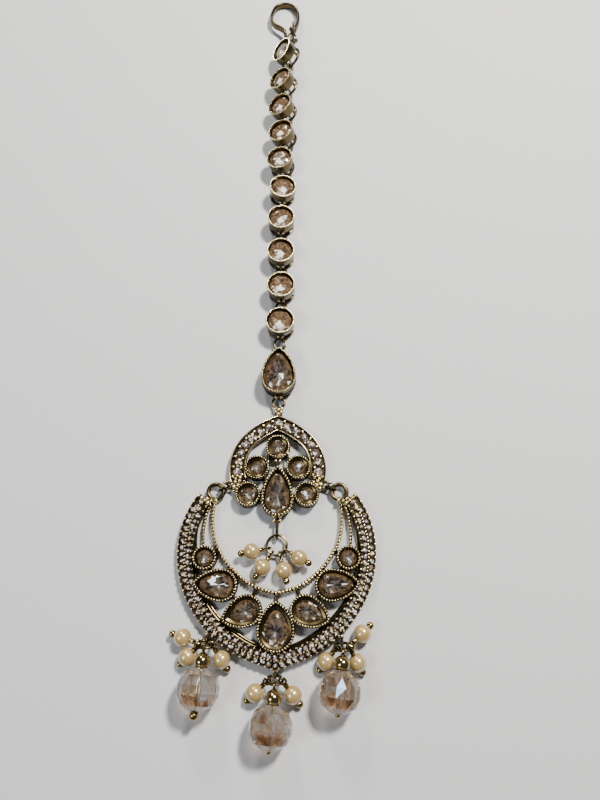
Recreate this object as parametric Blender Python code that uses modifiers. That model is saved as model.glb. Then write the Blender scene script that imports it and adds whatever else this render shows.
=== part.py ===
"""A maang tikka lying on its back: a hair hook, a chain of stone-set cups, a pear drop, an arched plate and a
crescent, hung with pearls and crystal beads.

Metres, +Z up, +Y along the chain towards the hook. The origin is on the flat back of the crescent's middle
setting. Every sub-part is its own object, named in plain words.
"""

import math

import bmesh
import bpy
from mathutils import Matrix, Vector

MM = 0.001
WELD_DISTANCE = 0.002 * MM
FLAT_ANGLE = math.radians(0.3)

# Wire
LINK_WIRE_RADIUS = 0.27 * MM
LOOP_WIRE_RADIUS = 0.23 * MM
EYELET_RADIUS = 0.67 * MM
EYELET_WIRE_RADIUS = 0.22 * MM
EYELET_LIFT = 0.18 * MM
LINK_HALF_WIDTH = 1.3 * MM
WIRE_CLEARANCE = 0.12 * MM
SIDE_LINK_RISE = 0.2 * MM

# Sides of round shapes
EYELET_SIDES = 8
EYELET_WIRE_SIDES = 4
PEAR_ROUND_STEPS = 7
PEAR_SIDE_STEPS = 2
BOSS_SIDES = 8
ARCH_STEPS = 9
CRESCENT_STEPS = 13
INNER_WIRE_STEPS = 10
RING_SIDES = 10
WIRE_SIDES = 5

# Cups of the chain
CUP_COUNT = 10
CUP_PITCH = 9.05 * MM
CUP_RADIUS = 3.25 * MM
CUP_HEIGHT = 2.65 * MM
CUP_RIM_WIDTH = 0.4 * MM
CUP_BACK_RING_RADIUS = 2.75 * MM
BACK_RING_WIRE_RADIUS = 0.35 * MM
BACK_RING_GAP = 1.0 * MM
BACK_POST_RADIUS = 0.4 * MM
STONE_DROP = 0.45 * MM
STONE_CROWN = 0.6 * MM
TABLE_SHARE = 0.55
CULET_SHARE = 0.6

# Pear drop between chain and plate
DROP_RADIUS = 3.8 * MM
DROP_POINT = 7.3 * MM
DROP_HEIGHT = 2.45 * MM
DROP_EYELET_REACH = 0.45 * MM
DROP_SEAT_DEPTH = 1.7 * MM
DROP_BACK_INSET = 0.15 * MM
DROP_BACK_WIDTH = 0.7 * MM
POINT_INSET_SHARE = 1.5

# Settings of the plate and the crescent
SETTING_HEIGHT = 2.6 * MM
SETTING_WALL = 0.75 * MM
SETTING_FLOOR = 0.9 * MM
SEAT_CLEARANCE = 0.12 * MM
PEAR_STONE_PAVILION = 0.7 * MM
PEAR_STONE_GIRDLE = 0.35 * MM
PEAR_STONE_CROWN = 0.75 * MM
ROUND_SETTING_RADIUS = 2.4 * MM
ROUND_STONE_RADIUS = 1.55 * MM
ROUND_STONE_RISE = 0.35 * MM
ROUND_RIM_SLOPE = 0.15 * MM
STEM_RADIUS = 0.4 * MM
STEM_HEIGHT = 0.47 * MM

# Arched plate: the centre of its arch, and its middle pear
PLATE_RISE = 18.4 * MM
ARCH_RADIUS = 10.2 * MM
ARCH_BAND = 3.35 * MM
ARCH_END_ANGLE = 108
ARCH_PEAR_RADIUS = 3.35 * MM
ARCH_PEAR_POINT = 6.75 * MM
TIP_BOSS_RADIUS = 0.85 * MM
CORNER_BOSS_RADIUS = 1.45 * MM
CORNER_BOSS_HEIGHT = 2.2 * MM

# Crescent
CRESCENT_RADIUS = 19.7 * MM
CRESCENT_BAND = 2.9 * MM
CRESCENT_RISE = 13.1 * MM
CRESCENT_END_ANGLE = 129
BAND_LEDGE = 0.6 * MM
BAND_HEIGHT = 2.0 * MM
BAND_LEDGE_HEIGHT = 0.9 * MM
BAND_RAIL = 0.4 * MM
BAND_CHANNEL_DEPTH = 0.4 * MM
INNER_WIRE_RADIUS = 0.7 * MM
SPUR_ANGLE = 122
TIP_SOLDER_ANGLE = 125
TIP_SOLDER_RADIUS = 0.6 * MM
TIP_RING_RADIUS = 1.5 * MM
TIP_RING_WIRE_RADIUS = 0.4 * MM
SIDE_LUG = 0.9 * MM
MIDDLE_LUG = 0.25 * MM

# Drops of pearl and crystal
PEARL_RADIUS = 1.7 * MM
PEARL_LATITUDES = (58, 20, -20, -58)
PEARL_END_RADIUS = 0.75 * MM
PEARL_PIN_LENGTH = 0.9 * MM
BALL_SPACING = 0.7
CRYSTAL_RADIUS = 4.0 * MM
CRYSTAL_LENGTH = 7.4 * MM
CRYSTAL_PIN_LENGTH = 0.3 * MM
CRYSTAL_BALL_RADIUS = 1.35 * MM
CRYSTAL_END_RADIUS = 0.9 * MM
DROP_RING_RADIUS = 1.5 * MM
DROP_RING_WIRE_RADIUS = 0.28 * MM
MIDDLE_RING_RADIUS = 2.0 * MM
MIDDLE_LINK_HALF_LENGTH = 1.95 * MM
MIDDLE_LINK_HALF_HEIGHT = 0.8 * MM

# Hair hook
HOOK_BAND_HEIGHT = 1.7 * MM
HOOK_BAND_THICKNESS = 0.8 * MM
HOOK_HALF_WIDTH = 3.8 * MM
HOOK_LENGTH = 11.5 * MM
HOOK_LINK_LENGTH = 3.3 * MM
HOOK_RING_RADIUS = 1.25 * MM
HOOK_RING_TILT = math.radians(15)
HOOK_RING_ROLL = math.radians(28)
HOOK_OVAL_HALF_LENGTH = 2.75 * MM
HOOK_RING_HALF_HEIGHT = 1.7 * MM
HOOK_SEAT = 1.3 * MM
HOOK_RING_SLACK = 0.3 * MM
HOOK_LEAN = 0.25

METAL = ("antique_brass", (0.34, 0.27, 0.14), 0.32, 1.0)
STONE = ("champagne_stone", (0.62, 0.47, 0.36), 0.08, 0.0)
PEARL = ("cream_pearl", (0.80, 0.69, 0.50), 0.25, 0.0)
CRYSTAL = ("champagne_crystal", (0.78, 0.62, 0.50), 0.04, 0.0)

# Half a cut bead from its end to its middle, as shares of its radius and of half its length.
CRYSTAL_OUTLINE = ((0, 1), (0.30, 1), (0.80, 0.62), (1, 0.18))
# The outline of each band about its own centre: the angle from its middle, and how far out its outer and
# inner edges reach, as shares of the band's radius and width.
CRESCENT_OUTLINE = (
    {"angle": 0, "outer": 1.045, "width": 1.05},
    {"angle": 8, "outer": 1.010, "width": 0.93},
    {"angle": 25, "outer": 0.982, "width": 0.96},
    {"angle": 45, "outer": 0.968, "width": 0.98},
    {"angle": 65, "outer": 0.978, "width": 1.00},
    {"angle": 90, "outer": 1.008, "width": 1.05},
    {"angle": 110, "outer": 1.038, "width": 1.10},
    {"angle": 129, "outer": 1.055, "width": 1.05},
)
ARCH_OUTLINE = (
    {"angle": 0, "outer": 1.115, "width": 1.00},
    {"angle": 12, "outer": 1.050, "width": 0.98},
    {"angle": 30, "outer": 1.000, "width": 0.94},
    {"angle": 50, "outer": 0.985, "width": 0.90},
    {"angle": 75, "outer": 0.990, "width": 0.97},
    {"angle": 108, "outer": 1.005, "width": 1.00},
)
# The inner wire of the crescent, from its lowest point to its end: shares of its half width and height.
INNER_WIRE_HALF_WIDTH = 13.4 * MM
INNER_WIRE_HEIGHT = 18.3 * MM
INNER_WIRE_LIFT = 6.4 * MM
INNER_WIRE = (
    {"across": 0.00, "up": 0.00},
    {"across": 0.18, "up": 0.03},
    {"across": 0.41, "up": 0.10},
    {"across": 0.62, "up": 0.22},
    {"across": 0.78, "up": 0.35},
    {"across": 0.94, "up": 0.56},
    {"across": 0.99, "up": 0.80},
    {"across": 0.96, "up": 1.01},
)
# Settings of the crescent: their seats, measured from its centre, and their sizes, as shares of the crescent's
# radius, and the heading of a pear's point.
CRESCENT_SETTINGS = (
    {
        "name": "centre",
        "across": 0.000,
        "up": -0.702,
        "radius": 0.1868,
        "point": 0.2944,
        "heading": 90,
    },
    {
        "name": "left_low",
        "across": -0.290,
        "up": -0.503,
        "radius": 0.1548,
        "point": 0.2665,
        "heading": 202,
    },
    {
        "name": "right_low",
        "across": 0.290,
        "up": -0.503,
        "radius": 0.1548,
        "point": 0.2665,
        "heading": -22,
    },
    {
        "name": "left_high",
        "across": -0.546,
        "up": -0.266,
        "radius": 0.1599,
        "point": 0.2970,
        "heading": 176,
    },
    {
        "name": "right_high",
        "across": 0.546,
        "up": -0.266,
        "radius": 0.1599,
        "point": 0.2970,
        "heading": 4,
    },
)
CRESCENT_ROUNDS = (
    {"across": -0.728, "up": 0.000},
    {"across": 0.728, "up": 0.000},
)
# Round settings of the plate, as shares of the arch's radius from the arch's centre.
ARCH_ROUNDS = (
    {"across": 0.000, "up": 0.430},
    {"across": -0.425, "up": -0.005},
    {"across": 0.425, "up": -0.005},
    {"across": -0.595, "up": -0.558},
    {"across": 0.595, "up": -0.558},
)
ARCH_PEAR_DROP = 0.672
# The corner eyelets of the plate, as shares of its radius, and how far the crescent's tip rings are from them.
CORNER_ACROSS = 0.985
CORNER_DROP = 0.368
TIP_REACH_ACROSS = 2.76 * MM
TIP_REACH_DOWN = 1.25 * MM
# The chain as it lies: how far each cup is from the one before and how far to the side its line of links
# passes, as shares of the pitch, and how far it has rolled to the left.
CHAIN_LIE = (
    {"advance": 0.000, "sideways": 0.0276, "roll": 2},
    {"advance": 1.020, "sideways": 0.0387, "roll": 2},
    {"advance": 1.025, "sideways": 0.0110, "roll": 0},
    {"advance": 1.038, "sideways": 0.0110, "roll": 0},
    {"advance": 0.978, "sideways": 0.0276, "roll": -4},
    {"advance": 0.934, "sideways": 0.0166, "roll": 12},
    {"advance": 0.934, "sideways": 0.0829, "roll": 20},
    {"advance": 0.940, "sideways": 0.0884, "roll": 27},
    {"advance": 0.983, "sideways": 0.1160, "roll": 34},
    {"advance": 1.127, "sideways": 0.1989, "roll": 44},
)
# Pearls on each ring: the seat is the angle on the ring from its far end, positive to the left, and the
# heading is the way the pearl points on the surface.
MIDDLE_PEARLS = (
    {"seat": 72, "heading": 192},
    {"seat": 32, "heading": 236},
    {"seat": -18, "heading": 285},
    {"seat": -62, "heading": 330},
)
LOWER_CLUSTERS = (
    {
        "name": "left",
        "rim_angle": -44,
        "lug": SIDE_LUG,
        "crystal_heading": 264,
        "pearls": (
            {"seat": 100, "heading": 162},
            {"seat": 58, "heading": 222},
            {"seat": -70, "heading": 303},
        ),
    },
    {
        "name": "centre",
        "rim_angle": 0,
        "lug": MIDDLE_LUG,
        "crystal_heading": 265,
        "pearls": (
            {"seat": 75, "heading": 222},
            {"seat": -75, "heading": 308},
        ),
    },
    {
        "name": "right",
        "rim_angle": 42,
        "lug": SIDE_LUG,
        "crystal_heading": 263,
        "pearls": (
            {"seat": 62, "heading": 232},
            {"seat": -60, "heading": 300},
            {"seat": -102, "heading": 42},
        ),
    },
)
DROP_RING_TILT = math.radians(65)
# The hook's band, from its free tip round the bow to the bend that carries the ring.
HOOK_PATH = (
    {"across": 0.06, "along": -0.15},
    {"across": -0.02, "along": -0.03},
    {"across": -0.25, "along": 0.07},
    {"across": -0.70, "along": 0.19},
    {"across": -0.98, "along": 0.38},
    {"across": -0.92, "along": 0.68},
    {"across": -0.55, "along": 0.93},
    {"across": 0.00, "along": 1.00},
    {"across": 0.55, "along": 0.93},
    {"across": 0.95, "along": 0.66},
    {"across": 0.98, "along": 0.38},
    {"across": 0.84, "along": 0.15},
    {"across": 0.62, "along": 0.02},
    {"across": 0.42, "along": 0.07},
)


def clear_scene():
    for obj in list(bpy.data.objects):
        bpy.data.objects.remove(obj)


def new_collection(name):
    collection = bpy.data.collections.new(name)
    bpy.context.scene.collection.children.link(collection)
    return collection


def material(finish):
    """The material of one finish, made once."""
    name, colour, roughness, metallic = finish
    made = bpy.data.materials.get(name)
    if made is None:
        made = bpy.data.materials.new(name)
        made.use_nodes = True
        shader = made.node_tree.nodes["Principled BSDF"]
        shader.inputs["Base Color"].default_value = (*colour, 1)
        shader.inputs["Roughness"].default_value = roughness
        shader.inputs["Metallic"].default_value = metallic
    return made


def rotation(axis, degrees):
    return Matrix.Rotation(math.radians(degrees), 4, axis)


def heading_of(degrees):
    """The level direction at an angle from +X."""
    angle = math.radians(degrees)
    return Vector((math.cos(angle), math.sin(angle), 0))


def frame_of(origin, along, up):
    """A frame with Y along a direction and Z as near up as that allows."""
    y = Vector(along).normalized()
    x = y.cross(Vector(up)).normalized()
    z = x.cross(y)
    columns = Matrix((x, y, z)).transposed().to_4x4()
    return Matrix.Translation(origin) @ columns


def smooth_share(rows, key, where, value):
    """A value read from a table's column along a smooth curve through its rows."""
    places = [row[key] for row in rows]
    values = [row[value] for row in rows]
    last = len(rows) - 2
    index = 0
    while index < last and where > places[index + 1]:
        index += 1
    span = places[index + 1] - places[index]
    share = (where - places[index]) / span
    before = values[max(index - 1, 0)]
    after = values[min(index + 2, len(values) - 1)]
    low, high = values[index], values[index + 1]
    slope_low = (high - before) / 2
    slope_high = (after - low) / 2
    square, cube = share**2, share**3
    return (
        (2 * cube - 3 * square + 1) * low
        + (cube - 2 * square + share) * slope_low
        + (3 * square - 2 * cube) * high
        + (cube - square) * slope_high
    )


def pear_outline(radius, point, round_steps=PEAR_ROUND_STEPS, side_steps=PEAR_SIDE_STEPS):
    """A pear outline: a half circle below, and two arcs that meet at a point along +Y."""
    side_radius = (point**2 + radius**2) / (2 * radius)
    sweep = math.asin(point / side_radius)
    outline = []
    for step in range(round_steps + 1):
        angle = math.pi + math.pi * step / round_steps
        outline.append((radius * math.cos(angle), radius * math.sin(angle)))
    right = []
    for step in range(1, side_steps + 1):
        angle = sweep * step / side_steps
        right.append((side_radius * math.cos(angle) - side_radius + radius, side_radius * math.sin(angle)))
    outline += right
    outline += [(-x, y) for x, y in reversed(right[:-1])]
    return outline


def object_of(name, mesh):
    return bpy.data.objects.new(name, mesh)


def linked(obj, collection, finish):
    """Puts a finished sub-part in the scene with its material."""
    collection.objects.link(obj)
    obj.data.materials.clear()
    obj.data.materials.append(material(finish))
    return obj


def baked(obj, weld=True):
    """The mesh that an object's modifiers or curve settings make, with its caps welded."""
    bpy.context.view_layer.update()
    graph = bpy.context.evaluated_depsgraph_get()
    mesh = bpy.data.meshes.new_from_object(obj.evaluated_get(graph))
    mesh.transform(obj.matrix_world)
    if weld:
        shape = bmesh.new()
        shape.from_mesh(mesh)
        bmesh.ops.remove_doubles(shape, verts=shape.verts, dist=WELD_DISTANCE)
        shape.to_mesh(mesh)
        shape.free()
    bpy.data.objects.remove(obj)
    return mesh


def helper(mesh):
    obj = object_of("helper", mesh)
    bpy.context.scene.collection.objects.link(obj)
    return obj


def turned(profile, sides):
    """A closed solid turned about Z from a profile of (radius, height), listed from the top down."""
    mesh = bpy.data.meshes.new("profile")
    edges = [(index, index + 1) for index in range(len(profile) - 1)]
    mesh.from_pydata([(radius, 0, height) for radius, height in profile], edges, [])
    obj = helper(mesh)
    screw = obj.modifiers.new("turn", "SCREW")
    screw.axis = "Z"
    screw.steps = sides
    screw.render_steps = sides
    screw.use_merge_vertices = True
    screw.merge_threshold = WELD_DISTANCE
    return baked(obj)


def torus(ring_radius, wire_radius, ring_sides=RING_SIDES, wire_sides=WIRE_SIDES):
    bpy.ops.mesh.primitive_torus_add(
        major_segments=ring_sides,
        minor_segments=wire_sides,
        major_radius=ring_radius,
        minor_radius=wire_radius,
    )
    return baked(bpy.context.object)


def eyelet_mesh():
    return torus(EYELET_RADIUS, EYELET_WIRE_RADIUS, EYELET_SIDES, EYELET_WIRE_SIDES)


def ball(radius, sides, rings):
    bpy.ops.mesh.primitive_uv_sphere_add(segments=sides, ring_count=rings, radius=radius)
    return baked(bpy.context.object)


def rod(radius, length, sides=WIRE_SIDES):
    bpy.ops.mesh.primitive_cylinder_add(vertices=sides, radius=radius, depth=length)
    return baked(bpy.context.object)


def moved(mesh, matrix):
    mesh.transform(matrix)
    return mesh


def fused(meshes, operation="UNION"):
    """One mesh made from overlapping ones: the first, with the others joined to it or cut from it."""
    shapes = [helper(mesh) for mesh in meshes]
    base = shapes[0]
    for shape in shapes[1:]:
        join = base.modifiers.new("join", "BOOLEAN")
        join.operation = operation
        join.solver = "MANIFOLD"
        join.object = shape
    mesh = baked(base, weld=False)
    for shape in shapes[1:]:
        bpy.data.objects.remove(shape)
    return flattened(mesh)


def flattened(mesh):
    """Joins the flat faces that a cut or join has split."""
    shape = bmesh.new()
    shape.from_mesh(mesh)
    bmesh.ops.dissolve_limit(
        shape, angle_limit=FLAT_ANGLE, use_dissolve_boundaries=False, verts=shape.verts, edges=shape.edges
    )
    bmesh.ops.triangulate(shape, faces=[face for face in shape.faces if len(face.verts) > 4])
    shape.to_mesh(mesh)
    shape.free()
    return mesh


def prism(outline, bottom, top):
    """A flat outline made solid between two heights."""
    shape = bmesh.new()
    verts = [shape.verts.new((x, y, bottom)) for x, y in outline]
    face = shape.faces.new(verts)
    raised = bmesh.ops.extrude_face_region(shape, geom=[face])
    lifted = [item for item in raised["geom"] if isinstance(item, bmesh.types.BMVert)]
    bmesh.ops.translate(shape, verts=lifted, vec=(0, 0, top - bottom))
    bmesh.ops.recalc_face_normals(shape, faces=shape.faces)
    mesh = bpy.data.meshes.new("prism")
    shape.to_mesh(mesh)
    shape.free()
    return mesh


def cut_stone(outline, girdle, crown, pavilion):
    """A cut stone: a girdle of the given thickness, a crown up to its table, and a pavilion below."""
    shape = bmesh.new()
    verts = [shape.verts.new((x, y, 0)) for x, y in outline]
    face = shape.faces.new(verts)
    centre = Vector((0, sum(y for _, y in outline) / len(outline), 0))
    shrink_about = Matrix.Translation(-centre)
    levels = ((1, girdle), (TABLE_SHARE, crown))
    top = face
    for share, rise in levels:
        raised = bmesh.ops.extrude_face_region(shape, geom=[top])
        lifted = [item for item in raised["geom"] if isinstance(item, bmesh.types.BMVert)]
        bmesh.ops.scale(shape, verts=lifted, vec=(share, share, 1), space=shrink_about)
        bmesh.ops.translate(shape, verts=lifted, vec=(0, 0, rise))
        if top is not face:
            shape.faces.remove(top)
        top = [item for item in raised["geom"] if isinstance(item, bmesh.types.BMFace)][0]
    sunk = bmesh.ops.extrude_face_region(shape, geom=[face])
    lowered = [item for item in sunk["geom"] if isinstance(item, bmesh.types.BMVert)]
    bmesh.ops.scale(shape, verts=lowered, vec=(CULET_SHARE, CULET_SHARE, 1), space=shrink_about)
    bmesh.ops.translate(shape, verts=lowered, vec=(0, 0, -pavilion))
    if face.is_valid:
        shape.faces.remove(face)
    bmesh.ops.recalc_face_normals(shape, faces=shape.faces)
    mesh = bpy.data.meshes.new("stone")
    shape.to_mesh(mesh)
    shape.free()
    return mesh


def loft(rings):
    """A solid through sections of equally many points, closed at both ends."""
    shape = bmesh.new()
    rows = [[shape.verts.new(point) for point in ring] for ring in rings]
    count = len(rings[0])
    for row, after in zip(rows, rows[1:]):
        for index in range(count):
            follow = (index + 1) % count
            shape.faces.new((row[index], row[follow], after[follow], after[index]))
    shape.faces.new(rows[0])
    shape.faces.new(rows[-1])
    bmesh.ops.recalc_face_normals(shape, faces=shape.faces)
    mesh = bpy.data.meshes.new("loft")
    shape.to_mesh(mesh)
    shape.free()
    return mesh


def wire(name, points, radius, closed=False, sides=WIRE_SIDES + 1):
    """A round wire along points, as a curve."""
    curve = bpy.data.curves.new(name, "CURVE")
    curve.dimensions = "3D"
    curve.bevel_depth = radius
    curve.bevel_resolution = (sides - 4) // 2
    curve.use_fill_caps = True
    spline = curve.splines.new("POLY")
    spline.points.add(len(points) - 1)
    for slot, point in zip(spline.points, points):
        slot.co = (*point, 1)
    spline.use_cyclic_u = closed
    return object_of(name, curve)


def ring_points(centre, long_axis, short_axis, half_length, half_width, sides=RING_SIDES):
    """Points of an oval ring that lies in the plane of its two axes."""
    points = []
    for step in range(sides):
        angle = 2 * math.pi * step / sides
        points.append(
            Vector(centre)
            + Vector(long_axis) * half_length * math.cos(angle)
            + Vector(short_axis) * half_width * math.sin(angle)
        )
    return points


def standing_eyelet(y, z, x=0):
    """An upright eyelet, its hole open from side to side."""
    eyelet = eyelet_mesh()
    return moved(eyelet, Matrix.Translation((x, y, z)) @ rotation("Y", 90))


# Heights shared by the chain's pieces, above the surface they lie on
EYELET_HEIGHT = EYELET_RADIUS + EYELET_WIRE_RADIUS + EYELET_LIFT
BODY_BOTTOM = 2 * BACK_RING_WIRE_RADIUS + BACK_RING_GAP
EYELET_REACH = 0.05 * MM
CUP_EYELET = CUP_RADIUS - EYELET_REACH
LINE_GAP = CUP_PITCH - 2 * CUP_EYELET

# Where the pieces sit along +Y, worked up from the crescent's middle setting
ARCH_CENTRE_Y = CRESCENT_RISE + PLATE_RISE
ARCH_TOP_Y = ARCH_CENTRE_Y + ARCH_RADIUS * ARCH_OUTLINE[0]["outer"]
TIP_BOSS_Y = ARCH_TOP_Y + TIP_BOSS_RADIUS - BAND_RAIL / 2
PLATE_EYELET_Y = TIP_BOSS_Y + TIP_BOSS_RADIUS + EYELET_RADIUS - EYELET_WIRE_RADIUS
DROP_LOW_EYELET_Y = PLATE_EYELET_Y + LINE_GAP
DROP_CENTRE_Y = DROP_LOW_EYELET_Y + DROP_RADIUS - EYELET_REACH
DROP_HIGH_EYELET_Y = DROP_CENTRE_Y + DROP_POINT + DROP_EYELET_REACH
FIRST_CUP_Y = DROP_HIGH_EYELET_Y + LINE_GAP + CUP_EYELET

# The two stone-set bands
ARCH = {
    "outline": ARCH_OUTLINE,
    "radius": ARCH_RADIUS,
    "width": ARCH_BAND,
    "centre_y": ARCH_CENTRE_Y,
    "end_angle": ARCH_END_ANGLE,
    "side": 1,
    "ledge": 0,
}
CRESCENT = {
    "outline": CRESCENT_OUTLINE,
    "radius": CRESCENT_RADIUS,
    "width": CRESCENT_BAND,
    "centre_y": CRESCENT_RISE,
    "end_angle": CRESCENT_END_ANGLE,
    "side": -1,
    "ledge": BAND_LEDGE,
}


def setting_body(outline_outer, outline_inner):
    """A closed setting with a seat sunk into its top."""
    body = prism(outline_outer, 0, SETTING_HEIGHT)
    seat = prism(outline_inner, SETTING_FLOOR, SETTING_HEIGHT + MM)
    return fused([body, seat], "DIFFERENCE")


def inset_pear(radius, point, inset):
    """A pear outline within another, its point drawn in further than its sides."""
    return pear_outline(radius - inset, point - POINT_INSET_SHARE * inset)


def pear_setting(radius, point):
    return setting_body(
        pear_outline(radius, point),
        inset_pear(radius, point, SETTING_WALL),
    )


def pear_stone(radius, point, bottom):
    """The stone of a pear setting, resting just above its seat."""
    outline = inset_pear(radius, point, SETTING_WALL + SEAT_CLEARANCE)
    stone = cut_stone(outline, PEAR_STONE_GIRDLE, PEAR_STONE_CROWN, PEAR_STONE_PAVILION)
    return moved(stone, Matrix.Translation((0, 0, bottom + SEAT_CLEARANCE + PEAR_STONE_PAVILION)))


def round_setting_with_stone():
    """A small round setting and its stone, soldered in one."""
    inner = ROUND_SETTING_RADIUS - SETTING_WALL
    profile = (
        (0, SETTING_HEIGHT + ROUND_STONE_RISE),
        (ROUND_STONE_RADIUS * TABLE_SHARE, SETTING_HEIGHT + ROUND_STONE_RISE),
        (ROUND_STONE_RADIUS, SETTING_HEIGHT - ROUND_STONE_RISE),
        (inner, SETTING_HEIGHT),
        (ROUND_SETTING_RADIUS, SETTING_HEIGHT - ROUND_RIM_SLOPE),
        (ROUND_SETTING_RADIUS, 0),
        (0, 0),
    )
    return turned(profile, RING_SIDES)


def band_reach(band, degrees):
    """How far a band's outer and inner edges are from its centre, at an angle from its middle."""
    outer = band["radius"] * smooth_share(band["outline"], "angle", abs(degrees), "outer")
    inner = outer - band["width"] * smooth_share(band["outline"], "angle", abs(degrees), "width")
    return outer, inner


def band_place(band, degrees, reach, height):
    """The point of a band at an angle from its middle and a distance from its centre."""
    angle = math.radians(degrees)
    across = reach * math.sin(angle)
    return Vector((across, band["centre_y"] + band["side"] * reach * math.cos(angle), height))


def band_rings(band, steps):
    """Sections of a stone-set band: rails at both edges, a channel between them, and a low inner ledge."""
    rings = []
    channel = BAND_HEIGHT - BAND_CHANNEL_DEPTH
    for step in range(-steps, steps + 1):
        degrees = band["end_angle"] * step / steps
        outer, inner = band_reach(band, degrees)
        section = [
            (outer, 0),
            (outer, BAND_HEIGHT),
            (outer - BAND_RAIL, BAND_HEIGHT),
            (outer - BAND_RAIL, channel),
            (inner + BAND_RAIL, channel),
            (inner + BAND_RAIL, BAND_HEIGHT),
            (inner, BAND_HEIGHT),
        ]
        if band["ledge"]:
            section += [
                (inner, BAND_LEDGE_HEIGHT),
                (inner - band["ledge"], BAND_LEDGE_HEIGHT),
            ]
        section.append((inner - band["ledge"], 0))
        rings.append([band_place(band, degrees, reach, height) for reach, height in section])
    return rings


def baked_wire(points, radius):
    obj = wire("helper_wire", points, radius)
    bpy.context.scene.collection.objects.link(obj)
    return baked(obj)


def stem(start, end, radius=STEM_RADIUS):
    """A soldered stem between two places of a setting's frame, near its back."""
    low, high = Vector(start), Vector(end)
    low.z = max(STEM_HEIGHT, radius)
    high.z = low.z
    return baked_wire([low, high], radius)


def build_cup_mesh():
    """A chain cup with its stone, standing on a back ring that its two eyelets carry."""
    rim = BODY_BOTTOM + CUP_HEIGHT
    stone_radius = CUP_RADIUS - CUP_RIM_WIDTH
    profile = (
        (0, rim - STONE_DROP + STONE_CROWN),
        (stone_radius * TABLE_SHARE, rim - STONE_DROP + STONE_CROWN),
        (stone_radius, rim - STONE_DROP),
        (stone_radius, rim),
        (CUP_RADIUS, rim),
        (CUP_RADIUS, BODY_BOTTOM),
        (0, BODY_BOTTOM),
    )
    body = turned(profile, RING_SIDES)
    back_ring = moved(
        torus(CUP_BACK_RING_RADIUS, BACK_RING_WIRE_RADIUS, RING_SIDES, EYELET_WIRE_SIDES),
        Matrix.Translation((0, 0, BACK_RING_WIRE_RADIUS)),
    )
    eyelets = [standing_eyelet(side * CUP_EYELET, EYELET_HEIGHT) for side in (-1, 1)]
    return moved(fused([body, *eyelets, back_ring]), Matrix.Translation((0, 0, -EYELET_HEIGHT)))


def cup_frame(index):
    """Where a cup lies: its origin is on its line of links, and its roll lifts that line off the surface."""
    row = CHAIN_LIE[index]
    before = CHAIN_LIE[max(index - 1, 0)]["sideways"]
    after = CHAIN_LIE[min(index + 1, CUP_COUNT - 1)]["sideways"]
    along = Vector(((after - before) / 2, 1, 0))
    roll = math.radians(row["roll"])
    drop = EYELET_HEIGHT - BACK_RING_WIRE_RADIUS
    height = CUP_BACK_RING_RADIUS * math.sin(abs(roll)) + drop * math.cos(roll) + BACK_RING_WIRE_RADIUS
    advance = sum(lie["advance"] for lie in CHAIN_LIE[: index + 1])
    origin = (row["sideways"] * CUP_PITCH, FIRST_CUP_Y + advance * CUP_PITCH, height)
    return frame_of(origin, along, (-math.sin(roll), 0, math.cos(roll)))


def build_link(name, frame_low, reach_low, frame_high, reach_high):
    """An oval link through the upper eyelet of one piece and the lower eyelet of the next."""
    low = frame_low @ Vector((0, reach_low, 0))
    high = frame_high @ Vector((0, -reach_high, 0))
    along = (high - low).normalized()
    up = (frame_low.to_3x3() @ Vector((0, 0, 1)) + frame_high.to_3x3() @ Vector((0, 0, 1))).normalized()
    across = along.cross(up).normalized()
    half_length = (high - low).length / 2
    points = ring_points((low + high) / 2, along, across, half_length, LINK_HALF_WIDTH)
    return wire(name, points, LINK_WIRE_RADIUS, closed=True)


def build_chain(collection):
    cup = build_cup_mesh()
    frames = [cup_frame(index) for index in range(CUP_COUNT)]
    for index, frame in enumerate(frames):
        obj = object_of(f"chain_cup_{index + 1:02d}", cup)
        obj.matrix_world = frame
        linked(obj, collection, METAL)
    drop_frame = Matrix.Translation((0, DROP_HIGH_EYELET_Y, EYELET_HEIGHT))
    linked(build_link("chain_link_01", drop_frame, 0, frames[0], CUP_EYELET), collection, METAL)
    for index in range(CUP_COUNT - 1):
        name = f"chain_link_{index + 2:02d}"
        linked(build_link(name, frames[index], CUP_EYELET, frames[index + 1], CUP_EYELET), collection, METAL)
    return frames[-1]


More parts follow.
